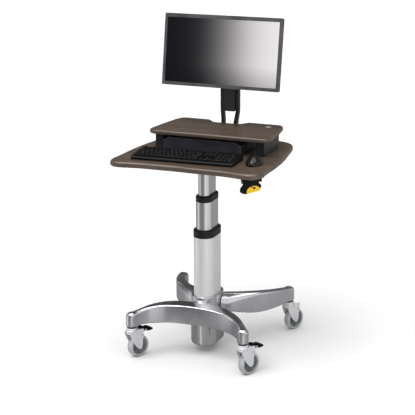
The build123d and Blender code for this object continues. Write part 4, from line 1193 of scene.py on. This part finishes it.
# two-part back: parting bead round the cover
bead = []
for sx in (-1, 1):
    bead.append((sx * 268.5, 0, 1.2, 286, 24.0, 25.6, 0.5))
for sz in (-1, 1):
    bead.append((0, sz * 151.0, 520, 1.2, 24.0, 25.6, 0.5))
slot_bars("monitor_parting_bead", bead, "monitor", "cover_black", MON)

# computer: connectors on the back, feet line and vents on the right side stay plain
_cl, _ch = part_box("computer_case")
ybk = _ch.y * 1000
xo = _cl.x * 1000
zo = _ch.z * 1000 - 51
ports = [(xo + 40, zo + 20, 13, 11, ybk - 0.6, ybk + 0.9, 1.2), (xo + 62, zo + 20, 14, 12.5, ybk - 0.6, ybk + 0.9, 0.8),
         (xo + 84, zo + 23.5, 13.5, 5.6, ybk - 0.6, ybk + 0.9, 0.6), (xo + 84, zo + 15, 13.5, 5.6, ybk - 0.6, ybk + 0.9, 0.6),
         (xo + 104, zo + 23.5, 13.5, 5.6, ybk - 0.6, ybk + 0.9, 0.6), (xo + 104, zo + 15, 13.5, 5.6, ybk - 0.6, ybk + 0.9, 0.6),
         (xo + 130, zo + 20, 22, 7.4, ybk - 0.6, ybk + 0.9, 1.2)]
slot_bars("computer_port_rims", ports, "worktop", "zinc_steel")
# near-black insets in the port rims: the dark connector plastic, and painted shade for the openings
slot_bars("computer_port_sockets", [(x_, z_, w_ - 2.4, h_ - 2.2, y1_ - 0.6, y1_ + 0.25, r_ * 0.6) for x_, z_, w_, h_, y0_, y1_, r_ in ports],
          "worktop", "lever_black")
# fan grille on the back: near-black bars, painted shade standing for the openings
fan = [(xo + 190 + 7 * k, zo + 20, 3.2, 20, ybk - 0.6, ybk + 0.5, 1.5) for k in range(12)]
slot_bars("computer_vent_shade_bars", fan, "worktop", "lever_black")

# ======================================================================= stage: floor, light, camera
a, e, r = radians(22.9), radians(15.0), radians(-0.2306)
F_PX = 1268.6
back = Vector((sin(a) * cos(e), -cos(a) * cos(e), sin(e)))
right = Vector((cos(a), sin(a), 0))
up = back.cross(right)
right2 = cos(r) * right + sin(r) * up
up2 = -sin(r) * right + cos(r) * up
loc = Vector((AX, AY, 0.750)) + back * 5.5372
fwd = (-back + right2 * ((207.5 - 207.1) / F_PX) - up2 * ((207.5 - 186.8) / F_PX)).normalized()
zc = -fwd
xc = (right2 - zc * right2.dot(zc)).normalized()
yc = zc.cross(xc)
cam_data = bpy.data.cameras.new("camera")
cam_data.sensor_width = 36.0
cam_data.lens = F_PX * 36.0 / 415.0
cam_data.clip_end = 100
cam = bpy.data.objects.new("camera", cam_data)
cam.matrix_world = Matrix(((xc.x, yc.x, zc.x, loc.x), (xc.y, yc.y, zc.y, loc.y), (xc.z, yc.z, zc.z, loc.z), (0, 0, 0, 1)))
bpy.context.scene.collection.objects.link(cam)
bpy.context.scene.camera = cam

scene = bpy.context.scene
scene.view_settings.view_transform = "Standard"
scene.view_settings.look = "None"
scene.view_settings.exposure = 0.0

# what polished metal sees, by azimuth round the object: soft boxes and dark gaps at eye level, and the floor as it
# comes back from further out and from close by
ENV = [(-180, 0.085), (-150, 0.09), (-128, 0.18), (-112, 0.34), (-99, 0.86), (-86, 0.92), (-74, 0.42), (-62, 0.24), (-45, 0.17),
       (-24, 0.15), (-9, 0.19), (0, 0.30), (8, 0.72), (17, 1.05), (40, 0.92), (62, 0.80), (84, 0.86), (98, 0.56), (112, 0.37),
       (134, 0.32), (158, 0.20), (170, 0.11), (180, 0.085)]
ENV_MID = [(-180, 0.16), (-132, 0.26), (-104, 0.95), (-84, 0.95), (-68, 0.44), (-50, 0.05), (-28, 0.08), (-8, 0.62), (10, 0.92),
           (40, 0.36), (70, 0.38), (95, 0.36), (134, 0.22), (180, 0.16)]
ENV_NEAR = [(-180, 0.2), (-120, 0.20), (-75, 0.20), (-62, 0.22), (-52, 0.32), (-41, 0.33), (-37, 0.95), (-31, 0.95), (-27, 0.36), (-12, 0.30),
            (0, 0.28), (40, 0.31), (100, 0.31), (122, 0.20), (140, 0.16), (180, 0.2)]


def env_group():
    gr = bpy.data.node_groups.new("studio", "ShaderNodeTree")
    gr.interface.new_socket("Vector", in_out="INPUT", socket_type="NodeSocketVector")
    gr.interface.new_socket("Mid", in_out="INPUT", socket_type="NodeSocketFloat")
    gr.interface.new_socket("Far", in_out="INPUT", socket_type="NodeSocketFloat")
    gr.interface.new_socket("Value", in_out="OUTPUT", socket_type="NodeSocketFloat")
    n = gr.nodes
    gi, go = n.new("NodeGroupInput"), n.new("NodeGroupOutput")
    sep = n.new("ShaderNodeSeparateXYZ")
    gr.links.new(gi.outputs[0], sep.inputs[0])

    def m(op, *a):
        x = n.new("ShaderNodeMath")
        x.operation = op
        for i, q in enumerate(a):
            if isinstance(q, (int, float)):
                x.inputs[i].default_value = q
            else:
                gr.links.new(q, x.inputs[i])
        return x.outputs[0]

    ny = m("MULTIPLY", sep.outputs[1], -1.0)
    th = m("ARCTAN2", sep.outputs[0], ny)                 # azimuth from -Y towards +X
    ps = m("SUBTRACT", th, radians(22.9))
    ps = m("WRAP", ps, pi, -pi)
    fr = m("DIVIDE", m("ADD", ps, pi), 2 * pi)
    def table(rows):
        rp = n.new("ShaderNodeValToRGB")
        el = rp.color_ramp.elements
        while len(el) < len(rows):
            el.new(0.5)
        for q, (deg, v) in zip(el, rows):
            q.position = (deg + 180) / 360
            q.color = (v, v, v, 1)
        gr.links.new(fr, rp.inputs[0])
        return rp.outputs[0]

    # elevation: side band up to about 35 degrees, darker gap, soft box overhead
    elv = m("ARCSINE", m("MINIMUM", m("MAXIMUM", sep.outputs[2], -1.0), 1.0))
    e01 = m("DIVIDE", elv, pi / 2)

    def by_height(st):
        r2 = n.new("ShaderNodeValToRGB")
        e2 = r2.color_ramp.elements
        while len(e2) < len(st):
            e2.new(0.5)
        for q, (pp, v) in zip(e2, st):
            q.position = pp
            q.color = (v, v, v, 1)
        gr.links.new(e01, r2.inputs[0])
        return r2.outputs[0]

    side = m("MULTIPLY", table(ENV), by_height([(0.0, 1.0), (0.33, 1.0), (0.45, 0.45), (1.0, 0.4)]))
    over = m("MULTIPLY", by_height([(0.0, 0.0), (0.58, 0.0), (0.68, 1.0), (1.0, 1.0)]), 1.75)
    far_v = m("MAXIMUM", side, over)
    # narrow upright light behind the left shoulder
    dx = m("DIVIDE", m("SUBTRACT", ps, radians(-152)), radians(9))
    dy = m("DIVIDE", m("SUBTRACT", elv, radians(12)), radians(6))
    rr = m("ADD", m("MULTIPLY", dx, dx), m("MULTIPLY", dy, dy))
    far_v = m("MAXIMUM", far_v, m("MULTIPLY", m("MAXIMUM", m("SUBTRACT", 1.0, rr), 0.0), 1.5))
    mx0 = n.new("ShaderNodeMix")
    mx0.data_type = "FLOAT"
    gr.links.new(gi.outputs[1], mx0.inputs[0])
    gr.links.new(table(ENV_NEAR), mx0.inputs[2])
    gr.links.new(table(ENV_MID), mx0.inputs[3])
    mx = n.new("ShaderNodeMix")
    mx.data_type = "FLOAT"
    gr.links.new(gi.outputs[2], mx.inputs[0])
    gr.links.new(mx0.outputs[0], mx.inputs[2])
    gr.links.new(far_v, mx.inputs[3])
    gr.links.new(mx.outputs[0], go.inputs[0])
    return gr


studio = env_group()
world = bpy.data.worlds.new("world")
scene.world = world
world.use_nodes = True
wn = world.node_tree
wn.nodes.clear()
wout = wn.nodes.new("ShaderNodeOutputWorld")
tc = wn.nodes.new("ShaderNodeTexCoord")
eg = wn.nodes.new("ShaderNodeGroup")
eg.node_tree = studio
wn.links.new(tc.outputs["Generated"], eg.inputs[0])
eg.inputs[1].default_value = 1.0
eg.inputs[2].default_value = 1.0
lp = wn.nodes.new("ShaderNodeLightPath")
bgg, bgd, bgc = [wn.nodes.new("ShaderNodeBackground") for _ in range(3)]
wn.links.new(eg.outputs[0], bgg.inputs[0])
bgg.inputs[1].default_value = 1.0
bgd.inputs[0].default_value = (1.0, 1.0, 1.0, 1)
bgd.inputs[1].default_value = 0.62
bgc.inputs[0].default_value = (1.0, 1.0, 1.0, 1)
bgc.inputs[1].default_value = 1.05
m1, m2 = wn.nodes.new("ShaderNodeMixShader"), wn.nodes.new("ShaderNodeMixShader")
wn.links.new(lp.outputs["Is Glossy Ray"], m1.inputs[0])
wn.links.new(bgd.outputs[0], m1.inputs[1])
wn.links.new(bgg.outputs[0], m1.inputs[2])
wn.links.new(lp.outputs["Is Camera Ray"], m2.inputs[0])
wn.links.new(m1.outputs[0], m2.inputs[1])
wn.links.new(bgc.outputs[0], m2.inputs[2])
wn.links.new(m2.outputs[0], wout.inputs[0])
world.cycles.sampling_method = "NONE"

# floor: pale, matt; to mirror-like metal it fades into the studio beyond arm's length
bpy.ops.mesh.primitive_circle_add(vertices=96, radius=16, fill_type="NGON", location=(0, 0, 0))
floor = bpy.context.object
floor.name = "floor"
g = G("mat_floor")
g.nt.nodes.remove(g.b)
df = g.n("ShaderNodeBsdfDiffuse")
pale = g.noise(g.co(), 0.8, 3, 0.5)
g.link(g.ramp(pale, [(0.3, 0.80), (0.7, 0.83)]), df.inputs[0])
em = g.n("ShaderNodeEmission")
grp = g.n("ShaderNodeGroup")
grp.node_tree = studio
geo = g.n("ShaderNodeNewGeometry")
inv = g.n("ShaderNodeVectorMath", operation="SCALE")
inv.inputs["Scale"].default_value = -1
g.link(geo.outputs["Incoming"], inv.inputs[0])
g.link(inv.outputs[0], grp.inputs[0])
g.link(grp.outputs[0], em.inputs[0])
lpf = g.n("ShaderNodeLightPath")
ln = g.n("ShaderNodeVectorMath", operation="LENGTH")
g.link(geo.outputs["Position"], ln.inputs[0])
g.link(g.maprange(ln.outputs["Value"], 0.50, 0.80, 0.0, 1.0), grp.inputs[1])
g.link(g.maprange(ln.outputs["Value"], 1.25, 2.1, 0.0, 1.0), grp.inputs[2])
fac = g.math("MULTIPLY", 0.9, lpf.outputs["Is Glossy Ray"])
mxs = g.n("ShaderNodeMixShader")
g.link(fac, mxs.inputs[0])
g.link(df.outputs[0], mxs.inputs[1])
g.link(em.outputs[0], mxs.inputs[2])
g.link(mxs.outputs[0], g.out.inputs[0])
floor.data.materials.append(g.m)


def sun(name, az, el, energy, angle):
    l = bpy.data.lights.new(name, "SUN")
    l.energy = energy
    l.angle = radians(angle)
    l.specular_factor = 0.0
    o = bpy.data.objects.new(name, l)
    d = Vector((sin(radians(az)) * cos(radians(el)), -cos(radians(az)) * cos(radians(el)), sin(radians(el))))
    o.rotation_euler = d.to_track_quat("Z", "Y").to_euler()
    scene.collection.objects.link(o)


sun("key", -35, 62, 1.35, 40)
sun("top", 60, 80, 1.05, 70)


def soft_box(name, az, el, dist, size, power, spec=1.0, aim=(0, 0, 0.8)):
    l = bpy.data.lights.new(name, "AREA")
    l.shape = "RECTANGLE"
    l.size, l.size_y = size
    l.energy = power
    l.specular_factor = spec
    o = bpy.data.objects.new(name, l)
    d = Vector((sin(radians(az)) * cos(radians(el)), -cos(radians(az)) * cos(radians(el)), sin(radians(el))))
    o.location = Vector(aim) + d * dist
    o.rotation_euler = d.to_track_quat("Z", "Y").to_euler()
    scene.collection.objects.link(o)


soft_box("front_fill", 10, 35, 4.0, (1.6, 1.2), 18)
